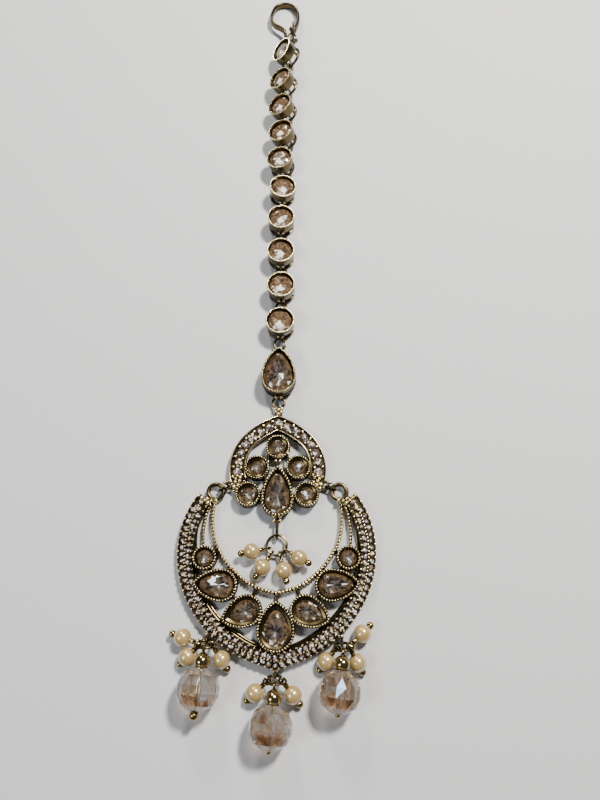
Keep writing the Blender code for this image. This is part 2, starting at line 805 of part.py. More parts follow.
def build_pear_drop(collection):
    """The pear setting between the chain and the plate, on its own back ring."""
    outer = pear_outline(DROP_RADIUS, DROP_POINT)
    inner = inset_pear(DROP_RADIUS, DROP_POINT, SETTING_WALL)
    rim = BODY_BOTTOM + DROP_HEIGHT
    seat_height = rim - DROP_SEAT_DEPTH
    body = fused([prism(outer, BODY_BOTTOM, rim), prism(inner, seat_height, rim + MM)], "DIFFERENCE")
    back_outer = inset_pear(DROP_RADIUS, DROP_POINT, DROP_BACK_INSET)
    back_inner = inset_pear(DROP_RADIUS, DROP_POINT, DROP_BACK_INSET + DROP_BACK_WIDTH)
    back_ring = fused(
        [prism(back_outer, 0, 2 * BACK_RING_WIRE_RADIUS), prism(back_inner, -MM, MM)], "DIFFERENCE"
    )
    eyelets = [
        standing_eyelet(DROP_HIGH_EYELET_Y - DROP_CENTRE_Y, EYELET_HEIGHT),
        standing_eyelet(DROP_LOW_EYELET_Y - DROP_CENTRE_Y, EYELET_HEIGHT),
    ]
    posts = []
    reach = DROP_RADIUS - 2 * BACK_POST_RADIUS
    for seat in ((-reach, 0), (reach, 0), (0, DROP_POINT - 2 * BACK_POST_RADIUS)):
        height = (BACK_RING_WIRE_RADIUS + BODY_BOTTOM + BACK_POST_RADIUS) / 2
        post = rod(BACK_POST_RADIUS, BODY_BOTTOM + BACK_POST_RADIUS - BACK_RING_WIRE_RADIUS)
        posts.append(moved(post, Matrix.Translation((*seat, height))))
    mesh = fused([body, *eyelets, back_ring, *posts])
    place = Matrix.Translation((0, DROP_CENTRE_Y, 0))
    linked(object_of("pear_drop", moved(mesh, place)), collection, METAL)
    stone = pear_stone(DROP_RADIUS, DROP_POINT, seat_height)
    linked(object_of("pear_drop_stone", moved(stone, place)), collection, STONE)
    low = Matrix.Translation((0, PLATE_EYELET_Y, EYELET_HEIGHT))
    high = Matrix.Translation((0, DROP_LOW_EYELET_Y, EYELET_HEIGHT))
    linked(build_link("plate_link", low, 0, high, 0), collection, METAL)


def side_frame(side):
    """The line from the plate's corner eyelet to the ring on the crescent's tip, on one side."""
    low = ARCH_CENTRE_Y - CORNER_DROP * ARCH_RADIUS
    corner = Vector((side * CORNER_ACROSS * ARCH_RADIUS, low, EYELET_HEIGHT))
    tip = corner + Vector((side * TIP_REACH_ACROSS, -TIP_REACH_DOWN, 0))
    return corner, tip


def build_side_link(collection, side, name):
    """A round link that stands upright through the plate's corner eyelet and the tip ring."""
    corner, tip = side_frame(side)
    towards = (tip - corner).normalized()
    far = (tip - corner).length - TIP_RING_RADIUS + TIP_RING_WIRE_RADIUS + LOOP_WIRE_RADIUS + WIRE_CLEARANCE
    half = (far - WIRE_CLEARANCE) / 2
    centre = corner + towards * (WIRE_CLEARANCE + half)
    points = ring_points(centre, towards, (0, 0, 1), half, EYELET_RADIUS + SIDE_LINK_RISE)
    linked(wire(name, points, LOOP_WIRE_RADIUS, closed=True), collection, METAL)


def polygon(radius, sides):
    """The outline of a regular polygon."""
    angles = [2 * math.pi * step / sides for step in range(sides)]
    return [(radius * math.cos(angle), radius * math.sin(angle)) for angle in angles]


def places_of(rows, radius, centre_y):
    """The seats of a table of settings, from shares of a band's radius."""
    return [Vector((row["across"] * radius, centre_y + row["up"] * radius, 0)) for row in rows]


def build_plate(collection):
    """The arched plate: a band of small stones over five round settings and a pear."""
    shapes = [loft(band_rings(ARCH, ARCH_STEPS))]
    rounds = places_of(ARCH_ROUNDS, ARCH_RADIUS, ARCH_CENTRE_Y)
    shapes += [moved(round_setting_with_stone(), Matrix.Translation(place)) for place in rounds]
    pear = Vector((0, ARCH_CENTRE_Y - ARCH_PEAR_DROP * ARCH_RADIUS, 0))
    pear_place = Matrix.Translation(pear)
    shapes.append(moved(pear_setting(ARCH_PEAR_RADIUS, ARCH_PEAR_POINT), pear_place))
    top, upper_left, upper_right, lower_left, lower_right = rounds
    outer, inner = band_reach(ARCH, 0)
    shapes.append(stem(top, band_place(ARCH, 0, (outer + inner) / 2, 0)))
    for upper, lower in ((upper_left, lower_left), (upper_right, lower_right)):
        rim = Vector((math.copysign(band_reach(ARCH, 90)[1] + BAND_RAIL, upper.x), upper.y, 0))
        shapes += [stem(top, upper), stem(upper, pear), stem(lower, pear), stem(upper, rim)]
    for side in (-1, 1):
        corner, _ = side_frame(side)
        boss = prism(polygon(CORNER_BOSS_RADIUS, BOSS_SIDES), 0, CORNER_BOSS_HEIGHT)
        inset = CORNER_BOSS_RADIUS + EYELET_RADIUS - EYELET_WIRE_RADIUS
        shapes.append(moved(boss, Matrix.Translation((corner.x - side * inset, corner.y, 0))))
        shapes.append(moved(eyelet_mesh(), Matrix.Translation(corner)))
    bail = Vector((0, pear.y - ARCH_PEAR_RADIUS - EYELET_RADIUS + EYELET_WIRE_RADIUS, EYELET_HEIGHT))
    tip_boss = prism(polygon(TIP_BOSS_RADIUS, BOSS_SIDES), 0, BAND_HEIGHT + BAND_RAIL / 2)
    shapes.append(moved(tip_boss, Matrix.Translation((0, TIP_BOSS_Y, 0))))
    shapes.append(standing_eyelet(PLATE_EYELET_Y, EYELET_HEIGHT))
    shapes.append(moved(eyelet_mesh(), Matrix.Translation(bail)))
    linked(object_of("arch_plate", fused(shapes)), collection, METAL)
    stone = pear_stone(ARCH_PEAR_RADIUS, ARCH_PEAR_POINT, SETTING_FLOOR)
    linked(object_of("arch_pear_stone", moved(stone, pear_place)), collection, STONE)
    return bail


def inner_wire_points(steps):
    """The crescent's inner edge, from one end through its lowest point to the other end."""
    rows = [dict(row, place=index) for index, row in enumerate(INNER_WIRE)]
    half = []
    for step in range(steps + 1):
        place = (len(rows) - 1) * step / steps
        across = smooth_share(rows, "place", place, "across") * INNER_WIRE_HALF_WIDTH
        up = smooth_share(rows, "place", place, "up") * INNER_WIRE_HEIGHT + INNER_WIRE_LIFT
        half.append(Vector((across, up, INNER_WIRE_RADIUS)))
    left = [Vector((-point.x, point.y, point.z)) for point in reversed(half[1:])]
    return left + half


def rim_eyelet(cluster):
    """The centre of the eyelet on the lug that carries a cluster below the crescent's outer edge."""
    outer, _ = band_reach(CRESCENT, cluster["rim_angle"])
    rim = band_place(CRESCENT, cluster["rim_angle"], outer, EYELET_HEIGHT)
    return rim - Vector((0, cluster["lug"] + EYELET_RADIUS, 0))


def pear_size(row):
    """The radius and the point length of one of the crescent's pear settings."""
    return row["radius"] * CRESCENT_RADIUS, row["point"] * CRESCENT_RADIUS


def setting_place(row):
    """The frame of one of the crescent's pear settings, its point along Y."""
    seat = Vector((row["across"] * CRESCENT_RADIUS, CRESCENT_RISE + row["up"] * CRESCENT_RADIUS, 0))
    return Matrix.Translation(seat) @ rotation("Z", row["heading"] - 90)


def crescent_stems(wire_points):
    """The soldered stems that join the crescent's settings to each other and to its inner wire."""
    centre, low_left, low_right, high_left, high_right = places_of(
        CRESCENT_SETTINGS, CRESCENT_RADIUS, CRESCENT_RISE
    )
    round_left, round_right = places_of(CRESCENT_ROUNDS, CRESCENT_RADIUS, CRESCENT_RISE)
    stems = []
    for chain in ((centre, low_left, high_left, round_left), (centre, low_right, high_right, round_right)):
        stems += [stem(start, end) for start, end in zip(chain, chain[1:])]
        for seat in chain[1:]:
            nearest = min(wire_points, key=lambda point: (point - seat).length)
            stems.append(stem(seat, nearest))
    lowest = min(wire_points, key=lambda point: point.y)
    stems.append(stem(centre, lowest))
    return stems


def build_crescent(collection):
    """The crescent: a band, an inner wire, seven settings between them, tip rings and eyelets."""
    wire_points = inner_wire_points(INNER_WIRE_STEPS)
    shapes = [loft(band_rings(CRESCENT, CRESCENT_STEPS)), baked_wire(wire_points, INNER_WIRE_RADIUS)]
    for row in CRESCENT_SETTINGS:
        shapes.append(moved(pear_setting(*pear_size(row)), setting_place(row)))
    for seat in places_of(CRESCENT_ROUNDS, CRESCENT_RADIUS, CRESCENT_RISE):
        shapes.append(moved(round_setting_with_stone(), Matrix.Translation(seat)))
        side = math.copysign(1, seat.x)
        _, tip = side_frame(side)
        _, inner = band_reach(CRESCENT, SPUR_ANGLE)
        spur_end = band_place(CRESCENT, side * SPUR_ANGLE, inner + BAND_RAIL, 0)
        shapes.append(stem(seat, spur_end))
        shapes.append(moved(torus(TIP_RING_RADIUS, TIP_RING_WIRE_RADIUS), Matrix.Translation(tip)))
        outer, inner = band_reach(CRESCENT, TIP_SOLDER_ANGLE)
        solder_end = band_place(CRESCENT, side * TIP_SOLDER_ANGLE, (outer + inner) / 2, tip.z)
        solder_start = tip + (solder_end - tip).normalized() * TIP_RING_RADIUS
        shapes.append(stem(solder_start, solder_end, TIP_SOLDER_RADIUS))
    shapes += crescent_stems(wire_points)
    for cluster in LOWER_CLUSTERS:
        eyelet = rim_eyelet(cluster)
        shapes.append(standing_eyelet(eyelet.y, eyelet.z, eyelet.x))
        outer, inner = band_reach(CRESCENT, cluster["rim_angle"])
        root = band_place(CRESCENT, cluster["rim_angle"], (outer + inner) / 2, 0)
        shapes.append(stem(root, eyelet + Vector((0, EYELET_RADIUS - EYELET_WIRE_RADIUS, 0))))
    linked(object_of("crescent", fused(shapes)), collection, METAL)
    for row in CRESCENT_SETTINGS:
        stone = pear_stone(*pear_size(row), SETTING_FLOOR)
        name = f"crescent_stone_{row['name']}"
        linked(object_of(name, moved(stone, setting_place(row))), collection, STONE)


def hanging_loop(distance):
    """The loop at the top of a pin, in the pin's own upright plane."""
    loop = torus(EYELET_RADIUS, LOOP_WIRE_RADIUS, EYELET_SIDES, EYELET_WIRE_SIDES)
    return moved(loop, Matrix.Translation((0, distance, 0)) @ rotation("Y", 90))


def pearl_reach():
    """How far a pearl's loop centre is from its middle."""
    return PEARL_RADIUS + PEARL_PIN_LENGTH + EYELET_RADIUS


def pin(top, length):
    """The bare stretch of a pin above what it carries."""
    rod_length = length + 2 * LOOP_WIRE_RADIUS
    place = Matrix.Translation((0, top + length / 2, 0)) @ rotation("X", 90)
    return moved(rod(LOOP_WIRE_RADIUS, rod_length), place)


def build_pearl_mesh():
    """A pearl on its pin: +Y is the way up to its loop, and its end ball is below."""
    end_middle = -PEARL_RADIUS - PEARL_END_RADIUS / 2
    profile = [(0, PEARL_RADIUS + PEARL_PIN_LENGTH + LOOP_WIRE_RADIUS)]
    profile.append((LOOP_WIRE_RADIUS, profile[0][1]))
    profile.append((LOOP_WIRE_RADIUS, PEARL_RADIUS))
    for latitude in PEARL_LATITUDES:
        angle = math.radians(latitude)
        profile.append((PEARL_RADIUS * math.cos(angle), PEARL_RADIUS * math.sin(angle)))
    profile.append((PEARL_END_RADIUS / 2, -PEARL_RADIUS))
    profile.append((PEARL_END_RADIUS, end_middle - PEARL_END_RADIUS / 4))
    profile.append((0, end_middle - PEARL_END_RADIUS))
    return fused([moved(turned(profile, RING_SIDES), rotation("X", -90)), hanging_loop(pearl_reach())])


def build_crystal_mesh():
    """A cut crystal bead on its pin, with a metal ball above and an end ball below."""
    half = CRYSTAL_LENGTH / 2
    profile = [(out * CRYSTAL_RADIUS, along * half) for out, along in CRYSTAL_OUTLINE]
    profile += [(radius, -height) for radius, height in reversed(profile)]
    bead = moved(turned(profile, RING_SIDES), rotation("X", -90))
    top = half + (1 + BALL_SPACING) * CRYSTAL_BALL_RADIUS
    upper = moved(
        ball(CRYSTAL_BALL_RADIUS, 8, 6),
        Matrix.Translation((0, half + BALL_SPACING * CRYSTAL_BALL_RADIUS, 0)) @ rotation("X", 90),
    )
    lower = moved(
        ball(CRYSTAL_END_RADIUS, 6, 4),
        Matrix.Translation((0, -half - BALL_SPACING * CRYSTAL_END_RADIUS, 0)) @ rotation("X", 90),
    )
    reach = top + CRYSTAL_PIN_LENGTH + EYELET_RADIUS
    return fused([bead, upper, lower, pin(top, CRYSTAL_PIN_LENGTH), hanging_loop(reach)]), reach


def ring_seat(centre, far, left, radius, degrees):
    """A point on a ring and the direction of its wire there; the angle is from its far end to the left."""
    angle = math.radians(degrees)
    seat = centre + (far * math.cos(angle) + left * math.sin(angle)) * radius
    return seat, left * math.cos(angle) - far * math.sin(angle)


def hang(name, mesh, reach, seat, tangent, heading, rest_height):
    """Hangs a drop by its loop at a seat on a ring's wire, resting at its own height on the surface."""
    rise = (seat.z - rest_height) / reach
    away = heading_of(heading) * math.sqrt(1 - rise**2) - Vector((0, 0, rise))
    obj = object_of(name, mesh)
    obj.matrix_world = frame_of(seat + away * reach, -away, tangent.cross(-away))
    return obj


def build_middle_pearls(collection, bail, pearl):
    """An oval link under the plate, and a ring that lies level with four pearls round its lower side."""
    inside = MIDDLE_RING_RADIUS - DROP_RING_WIRE_RADIUS - LINK_WIRE_RADIUS - WIRE_CLEARANCE
    link_centre = bail - Vector((0, MIDDLE_LINK_HALF_LENGTH, 0))
    oval = ring_points(link_centre, (0, 1, 0), (0, 0, 1), MIDDLE_LINK_HALF_LENGTH, MIDDLE_LINK_HALF_HEIGHT)
    linked(wire("pearl_link_middle", oval, LINK_WIRE_RADIUS, closed=True), collection, METAL)
    centre = bail - Vector((0, 2 * MIDDLE_LINK_HALF_LENGTH + inside, 0))
    far, left = Vector((0, -1, 0)), Vector((-1, 0, 0))
    points = ring_points(centre, far, left, MIDDLE_RING_RADIUS, MIDDLE_RING_RADIUS, RING_SIDES)
    linked(wire("pearl_ring_middle", points, DROP_RING_WIRE_RADIUS, closed=True), collection, METAL)
    for index, row in enumerate(MIDDLE_PEARLS):
        seat, tangent = ring_seat(centre, far, left, MIDDLE_RING_RADIUS, row["seat"])
        name = f"pearl_middle_{index + 1}"
        obj = hang(name, pearl, pearl_reach(), seat, tangent, row["heading"], PEARL_RADIUS)
        linked(obj, collection, PEARL)


def build_cluster(collection, cluster, pearl, crystal, crystal_reach):
    """A ring that leans up from a rim eyelet to a crystal bead, with pearls at its sides."""
    far = Vector((0, -math.cos(DROP_RING_TILT), math.sin(DROP_RING_TILT)))
    left = Vector((-1, 0, 0))
    centre = rim_eyelet(cluster) + far * DROP_RING_RADIUS
    points = ring_points(centre, far, left, DROP_RING_RADIUS, DROP_RING_RADIUS, RING_SIDES)
    name = cluster["name"]
    linked(wire(f"drop_ring_{name}", points, DROP_RING_WIRE_RADIUS, closed=True), collection, METAL)
    seat, tangent = ring_seat(centre, far, left, DROP_RING_RADIUS, 0)
    heading = cluster["crystal_heading"]
    obj = hang(f"crystal_{name}", crystal, crystal_reach, seat, tangent, heading, CRYSTAL_RADIUS)
    linked(obj, collection, CRYSTAL)
    for index, row in enumerate(cluster["pearls"]):
        seat, tangent = ring_seat(centre, far, left, DROP_RING_RADIUS, row["seat"])
        pearl_name = f"pearl_{name}_{index + 1}"
        obj = hang(pearl_name, pearl, pearl_reach(), seat, tangent, row["heading"], PEARL_RADIUS)
        linked(obj, collection, PEARL)


def flat_band(name, points):
    """A strip on edge along points, as a curve whose section is a tall flat oval."""
    curve = bpy.data.curves.new(name, "CURVE")
    curve.dimensions = "3D"
    curve.twist_mode = "Z_UP"
    curve.bevel_depth = HOOK_BAND_THICKNESS / 2
    curve.bevel_resolution = 0
    curve.extrude = HOOK_BAND_HEIGHT / 2 - HOOK_BAND_THICKNESS / 2
    curve.use_fill_caps = True
    curve.resolution_u = 2
    spline = curve.splines.new("BEZIER")
    spline.bezier_points.add(len(points) - 1)
    for slot, point in zip(spline.bezier_points, points):
        slot.co = point
        slot.handle_left_type = "AUTO"
        slot.handle_right_type = "AUTO"
    return object_of(name, curve)


def build_hook(collection, last_cup):
    """A link, two rings and the flat hair hook, which carries the whole piece."""
    start = last_cup @ Vector((0, CUP_EYELET, 0))
    ring_inside = HOOK_RING_RADIUS - 2 * LINK_WIRE_RADIUS - WIRE_CLEARANCE
    link_axis = Vector((HOOK_LEAN, math.sqrt(1 - HOOK_LEAN**2), 0))
    end = start + link_axis * HOOK_LINK_LENGTH
    low = frame_of(start, link_axis, last_cup.to_3x3() @ Vector((0, 0, 1)))
    high = frame_of(end, link_axis, last_cup.to_3x3() @ Vector((0, 0, 1)))
    linked(build_link("chain_link_11", low, 0, high, 0), collection, METAL)
    ring_axis = Vector((0, math.cos(HOOK_RING_TILT), math.sin(HOOK_RING_TILT)))
    centre = end + ring_axis * ring_inside
    ring_cross = Matrix.Rotation(HOOK_RING_ROLL, 3, ring_axis) @ Vector((1, 0, 0))
    ring = ring_points(centre, ring_axis, ring_cross, HOOK_RING_RADIUS, HOOK_RING_RADIUS, RING_SIDES)
    linked(wire("hook_ring_1", ring, LINK_WIRE_RADIUS, closed=True), collection, METAL)
    near = centre + ring_axis * (ring_inside - HOOK_RING_SLACK)
    far = Vector((near.x, near.y + 2 * HOOK_OVAL_HALF_LENGTH, HOOK_RING_HALF_HEIGHT + LINK_WIRE_RADIUS))
    oval_axis = (far - near).normalized()
    oval_up = oval_axis.cross((1, 0, 0)) * -1
    oval = ring_points((near + far) / 2, oval_axis, oval_up, (far - near).length / 2, HOOK_RING_HALF_HEIGHT)
    linked(wire("hook_ring_2", oval, LINK_WIRE_RADIUS, closed=True), collection, METAL)
    bend = HOOK_PATH[-2]
    inside = far.y - HOOK_SEAT - HOOK_BAND_THICKNESS / 2
    base_x = far.x - bend["across"] * HOOK_HALF_WIDTH
    base_y = inside - bend["along"] * HOOK_LENGTH
    points = []
    for row in HOOK_PATH:
        fall = min(max(row["along"], 0), 1)
        height = far.z + (HOOK_BAND_HEIGHT / 2 - far.z) * fall
        x = base_x + row["across"] * HOOK_HALF_WIDTH
        points.append(Vector((x, base_y + row["along"] * HOOK_LENGTH, height)))
    linked(flat_band("hair_hook", points), collection, METAL)


def main():
    clear_scene()
    parts = new_collection("maang_tikka")
    build_crescent(parts)
    bail = build_plate(parts)
    for side, name in ((-1, "side_link_left"), (1, "side_link_right")):
        build_side_link(parts, side, name)
    build_pear_drop(parts)
    last_cup = build_chain(parts)
    build_hook(parts, last_cup)
    pearl = build_pearl_mesh()
    crystal, crystal_reach = build_crystal_mesh()
    build_middle_pearls(parts, bail, pearl)
    for cluster in LOWER_CLUSTERS:
        build_cluster(parts, cluster, pearl, crystal, crystal_reach)


main()
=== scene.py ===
"""The looks of a maang tikka: milled bezels, cut stones, pearls, crystal beads and worn antique gold.

Everything is in metres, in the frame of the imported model: +X right, +Y up the chain to the hook and +Z up
from the surface that the jewel lies on. The origin is on the back of the crescent's middle setting.
"""

import math
import random

import bmesh
import bpy
from bpy.props import FloatProperty, FloatVectorProperty, PointerProperty
from mathutils import Matrix, Vector


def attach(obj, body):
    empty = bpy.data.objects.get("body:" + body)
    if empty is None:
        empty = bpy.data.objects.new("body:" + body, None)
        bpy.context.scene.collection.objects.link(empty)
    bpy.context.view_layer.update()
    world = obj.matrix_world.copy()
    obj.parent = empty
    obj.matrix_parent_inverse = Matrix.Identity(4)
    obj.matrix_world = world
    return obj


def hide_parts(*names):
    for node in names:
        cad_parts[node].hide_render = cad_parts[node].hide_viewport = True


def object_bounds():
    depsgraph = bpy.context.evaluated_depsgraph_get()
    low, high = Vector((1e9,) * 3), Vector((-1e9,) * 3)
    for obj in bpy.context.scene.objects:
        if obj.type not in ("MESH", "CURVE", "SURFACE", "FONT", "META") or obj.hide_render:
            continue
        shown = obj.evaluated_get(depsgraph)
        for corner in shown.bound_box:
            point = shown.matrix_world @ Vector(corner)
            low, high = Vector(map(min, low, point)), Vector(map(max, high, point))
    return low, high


bl_info = {
    "name": "Maang tikka",
    "version": (1, 0, 0),
    "blender": (4, 5, 0),
    "location": "3D View > Sidebar > Tikka",
    "description": "Makes the bezels, stones, pearls and worn gold of a maang tikka over its fixed frame",
    "category": "Object",
}

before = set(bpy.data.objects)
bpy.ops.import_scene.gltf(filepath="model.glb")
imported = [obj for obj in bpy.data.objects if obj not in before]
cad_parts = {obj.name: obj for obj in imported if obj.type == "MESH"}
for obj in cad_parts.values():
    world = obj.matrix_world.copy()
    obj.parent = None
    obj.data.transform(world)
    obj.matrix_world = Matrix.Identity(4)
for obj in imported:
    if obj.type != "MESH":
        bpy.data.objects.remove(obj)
CAD_BOX = [list(corner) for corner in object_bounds()]

MM = 0.001
WELD = 1e-7
CREASE = math.radians(35)

# Wire
LINK_WIRE = 0.27 * MM
LOOP_WIRE = 0.23 * MM
EYELET_RADIUS = 0.67 * MM
EYELET_WIRE = 0.22 * MM
EYELET_LIFT = 0.18 * MM
LINK_HALF_WIDTH = 1.3 * MM
WIRE_GAP = 0.12 * MM
# The turns of wire below a loop, in radii of its wire
WRAP_PITCH = 1.7
WRAP_RADIUS = 1.55
WRAP_WIRE = 0.8

# Cups of the chain
CUP_COUNT = 10
CUP_PITCH = 9.05 * MM
CUP_RADIUS = 3.25 * MM
CUP_HEIGHT = 2.65 * MM
CUP_STONE_RADIUS = 2.62 * MM
BACK_RING_RADIUS = 2.75 * MM
BACK_RING_WIRE = 0.35 * MM
BACK_RING_GAP = 1.0 * MM
BACK_POST = 0.3 * MM

# Pear drop between chain and plate
DROP_RADIUS = 3.8 * MM
DROP_POINT = 7.3 * MM
DROP_HEIGHT = 2.45 * MM
DROP_COLLAR = 0.10 * MM
DROP_EYELET_REACH = 0.45 * MM

# Settings
SETTING_HEIGHT = 2.6 * MM
ROUND_RADIUS = 2.4 * MM
PLATE_ROUND_RADIUS = 2.6 * MM
POINT_INSET_SHARE = 1.5
RIM_THICKNESS = 0.50 * MM
COLLAR = 0.60 * MM
THIN_COLLAR = 0.32 * MM
STONE_OVERLAP = 0.03 * MM
STONE_SINK = 0.90 * MM
MILL_INSET = 0.26 * MM
MILL_SINK = 0.08 * MM
STEM = 0.42 * MM

# Arched plate and crescent
PLATE_STONE_PITCH = 2.08 * MM
PLATE_RISE = 18.4 * MM
ARCH_RADIUS = 10.2 * MM
ARCH_PEAR_RADIUS = 3.35 * MM
ARCH_PEAR_POINT = 7.2 * MM
ARCH_PEAR_DROP = 0.672
CORNER_ACROSS = 0.985
CORNER_DROP = 0.368
CORNER_BOSS = 1.45 * MM
TIP_BOSS = 0.85 * MM
CRESCENT_RADIUS = 19.7 * MM
CRESCENT_RISE = 13.1 * MM
BAND_HEIGHT = 2.0 * MM
TIP_REACH_ACROSS = 2.76 * MM
TIP_REACH_DOWN = 1.25 * MM
TIP_RING_RADIUS = 1.58 * MM
TIP_RING_WIRE = 0.46 * MM
TIP_LINK_SEAT = 1.1 * MM
TIP_SOLDER_ANGLE = 125
TIP_ROW_ANGLE = 127.6
TIP_ROW_SHARES = (0.10, 0.37, 0.64, 0.91)
RIM_STONES_END = 119
PLATE_STONES_END = 97
RAIL_SHARES = (1.045, 1.22)
RAIL_END = 92
PLATE_WIRE_SHARES = (0.035, 0.965)
LEDGE_END = 112
LEDGE_FADE = 18
ROPE_PITCH = 0.70 * MM
SIDE_LUG = 0.9 * MM
MIDDLE_LUG = 0.25 * MM

# Drops
PEARL_PIN = 0.9 * MM
PEARL_END = 0.72 * MM
PEARL_END_REACH = 0.42 * MM
PEARL_TOP = 0.48 * MM
PEARL_TOP_REACH = 0.22 * MM
CRYSTAL_LENGTH = 7.4 * MM
CRYSTAL_PIN = 0.3 * MM
CRYSTAL_BALL = 1.35 * MM
CRYSTAL_TOP_BALL = 1.55 * MM
CRYSTAL_END = 0.9 * MM
CRYSTAL_HEAD = 0.5 * MM
DROP_RING_RADIUS = 1.5 * MM
DROP_RING_WIRE = 0.28 * MM
DROP_RING_TILT = math.radians(65)
MIDDLE_RING_RADIUS = 2.0 * MM
MIDDLE_LINK_HALF_LENGTH = 1.95 * MM
MIDDLE_LINK_HALF_HEIGHT = 0.8 * MM

# Hair hook
HOOK_BAND_HEIGHT = 1.7 * MM
HOOK_BAND_THICKNESS = 0.8 * MM
HOOK_HALF_WIDTH = 3.8 * MM
HOOK_LENGTH = 11.5 * MM
HOOK_LINK_LENGTH = 3.3 * MM
HOOK_RING_RADIUS = 1.25 * MM
HOOK_RING_TILT = math.radians(15)
HOOK_RING_ROLL = math.radians(28)
HOOK_OVAL_HALF_LENGTH = 2.75 * MM
HOOK_RING_HALF_HEIGHT = 1.7 * MM
HOOK_SEAT = 1.3 * MM
HOOK_RING_SLACK = 0.3 * MM
HOOK_LEAN = 0.25
HOOK_LIFT = 0.02 * MM

# The two values that each facet of a stone carries: its painted light, and its nearness to the edge
FACET_LIGHT = "facet"
FACET_EDGE = "edge"
# How much light is painted on the facets, as painted reflection and shade, 0 dark to 1 pale: in a stone's
# middle, round it and at the edge
CUP_LIGHTS = (0.50, 0.40, 0.38)
PEAR_LIGHTS = (0.34, 0.32, 0.36)
ROUND_LIGHTS = (0.46, 0.40, 0.34)
# The same for the small stones, in the middle and round it, and for the crystals, below and above: their
# lower ends get painted shade
RIM_LIGHTS = (0.50, 0.32)
CRYSTAL_LIGHTS = (0.25, 0.64)
# Where the kite facets of a stone begin, as a share of its radius
KITE_SHARE = 0.66
# How far chance moves the facets' painted light, the share of them painted as full glints, and where the
# chance starts
LARGE_CHANCE = {"spread": 0.22, "sparks": 0.012, "seed": 3}
CUP_CHANCE = {"spread": 0.26, "sparks": 0.02, "seed": 5}
RIM_CHANCE = {"spread": 0.42, "sparks": 0.10, "seed": 7}
CRYSTAL_CHANCE = {"spread": 0.36, "sparks": 0.06, "seed": 11}
# Painted glints: the places of the facets painted fully light, as if they caught the lamp, and how far
# round each
PAINTED_GLINT_PLACES = (
    (-12.6 * MM, 8.6 * MM, 0.75 * MM),
    (0.85 * MM, 51.4 * MM, 0.55 * MM),
    (-0.9 * MM, -2.6 * MM, 0.45 * MM),
    (-0.7 * MM, 21.9 * MM, 0.45 * MM),
    (4.5 * MM, 31.8 * MM, 0.40 * MM),
    (5.7 * MM, 26.0 * MM, 0.40 * MM),
)
PAINTED_GLINT_LIGHT = 1.3
# The facets of the right crystal that get a painted reflection of the sky
PAINTED_SKY_PLACE = Vector((-0.4 * MM, 0.9 * MM, 0))
PAINTED_SKY_REACH = 0.95 * MM
# How much painted light a stone's own patches add, and where dark turns to body and body to pale
PATCH_SHARE = 0.30
DARK_TO_BODY = (0.12, 0.5)
BODY_TO_PALE = (0.62, 0.95)
# The drift of straw colour over the small stones
DRIFT_SCALE = 640.0
DRIFT_LIMITS = (0.43, 0.60)

CRESCENT = {
    "radius": CRESCENT_RADIUS,
    "width": 2.9 * MM,
    "ledge": 0.6 * MM,
    "centre": CRESCENT_RISE,
    "end": 129,
    "side": -1,
    "outline": (
        {"angle": 0, "outer": 1.045, "width": 1.05},
        {"angle": 8, "outer": 1.010, "width": 0.93},
        {"angle": 25, "outer": 0.982, "width": 0.96},
        {"angle": 45, "outer": 0.968, "width": 0.98},
        {"angle": 65, "outer": 0.978, "width": 1.00},
        {"angle": 90, "outer": 1.008, "width": 1.05},
        {"angle": 110, "outer": 1.038, "width": 1.10},
        {"angle": 129, "outer": 1.055, "width": 1.05},
    ),
}
ARCH = {
    "radius": ARCH_RADIUS,
    "width": 3.35 * MM,
    "ledge": 0,
    "centre": CRESCENT_RISE + PLATE_RISE,
    "end": 108,
    "side": 1,
    "outline": (
        {"angle": 0, "outer": 1.115, "width": 1.00},
        {"angle": 12, "outer": 1.050, "width": 0.98},
        {"angle": 30, "outer": 1.000, "width": 0.94},
        {"angle": 50, "outer": 0.985, "width": 0.90},
        {"angle": 75, "outer": 0.990, "width": 0.97},
        {"angle": 108, "outer": 1.005, "width": 1.00},
    ),
}
INNER_WIRE_HALF_WIDTH = 13.4 * MM
INNER_WIRE_HEIGHT = 18.3 * MM
INNER_WIRE_LIFT = 6.4 * MM
INNER_WIRE = (
    {"place": 0, "across": 0.00, "up": 0.00},
    {"place": 1, "across": 0.18, "up": 0.03},
    {"place": 2, "across": 0.41, "up": 0.10},
    {"place": 3, "across": 0.62, "up": 0.22},
    {"place": 4, "across": 0.78, "up": 0.35},
    {"place": 5, "across": 0.94, "up": 0.56},
    {"place": 6, "across": 0.99, "up": 0.80},
    {"place": 7, "across": 0.96, "up": 1.01},
)
# The second beaded strand, from each horn's tip to the round setting below it, in millimetres
OUTER_STRAND = ((13.7, 24.4), (14.6, 21.6), (15.0, 18.6), (14.9, 15.6))
# The pear settings: one in the middle, and two pairs given by their right ones
MIDDLE_PEAR = {
    "name": "centre",
    "across": 0.0,
    "up": -0.702,
    "radius": 0.1868,
    "point": 0.2944,
    "heading": 90,
}
PEAR_PAIRS = (
    {"name": "low", "across": 0.290, "up": -0.503, "radius": 0.1548, "point": 0.2665, "heading": -22},
    {"name": "high", "across": 0.546, "up": -0.266, "radius": 0.1599, "point": 0.2970, "heading": 4},
)
CRESCENT_ROUNDS = ((-0.728, 0.000), (0.728, 0.000))
ARCH_ROUNDS = ((0.000, 0.430), (-0.425, -0.005), (0.425, -0.005), (-0.595, -0.558), (0.595, -0.558))
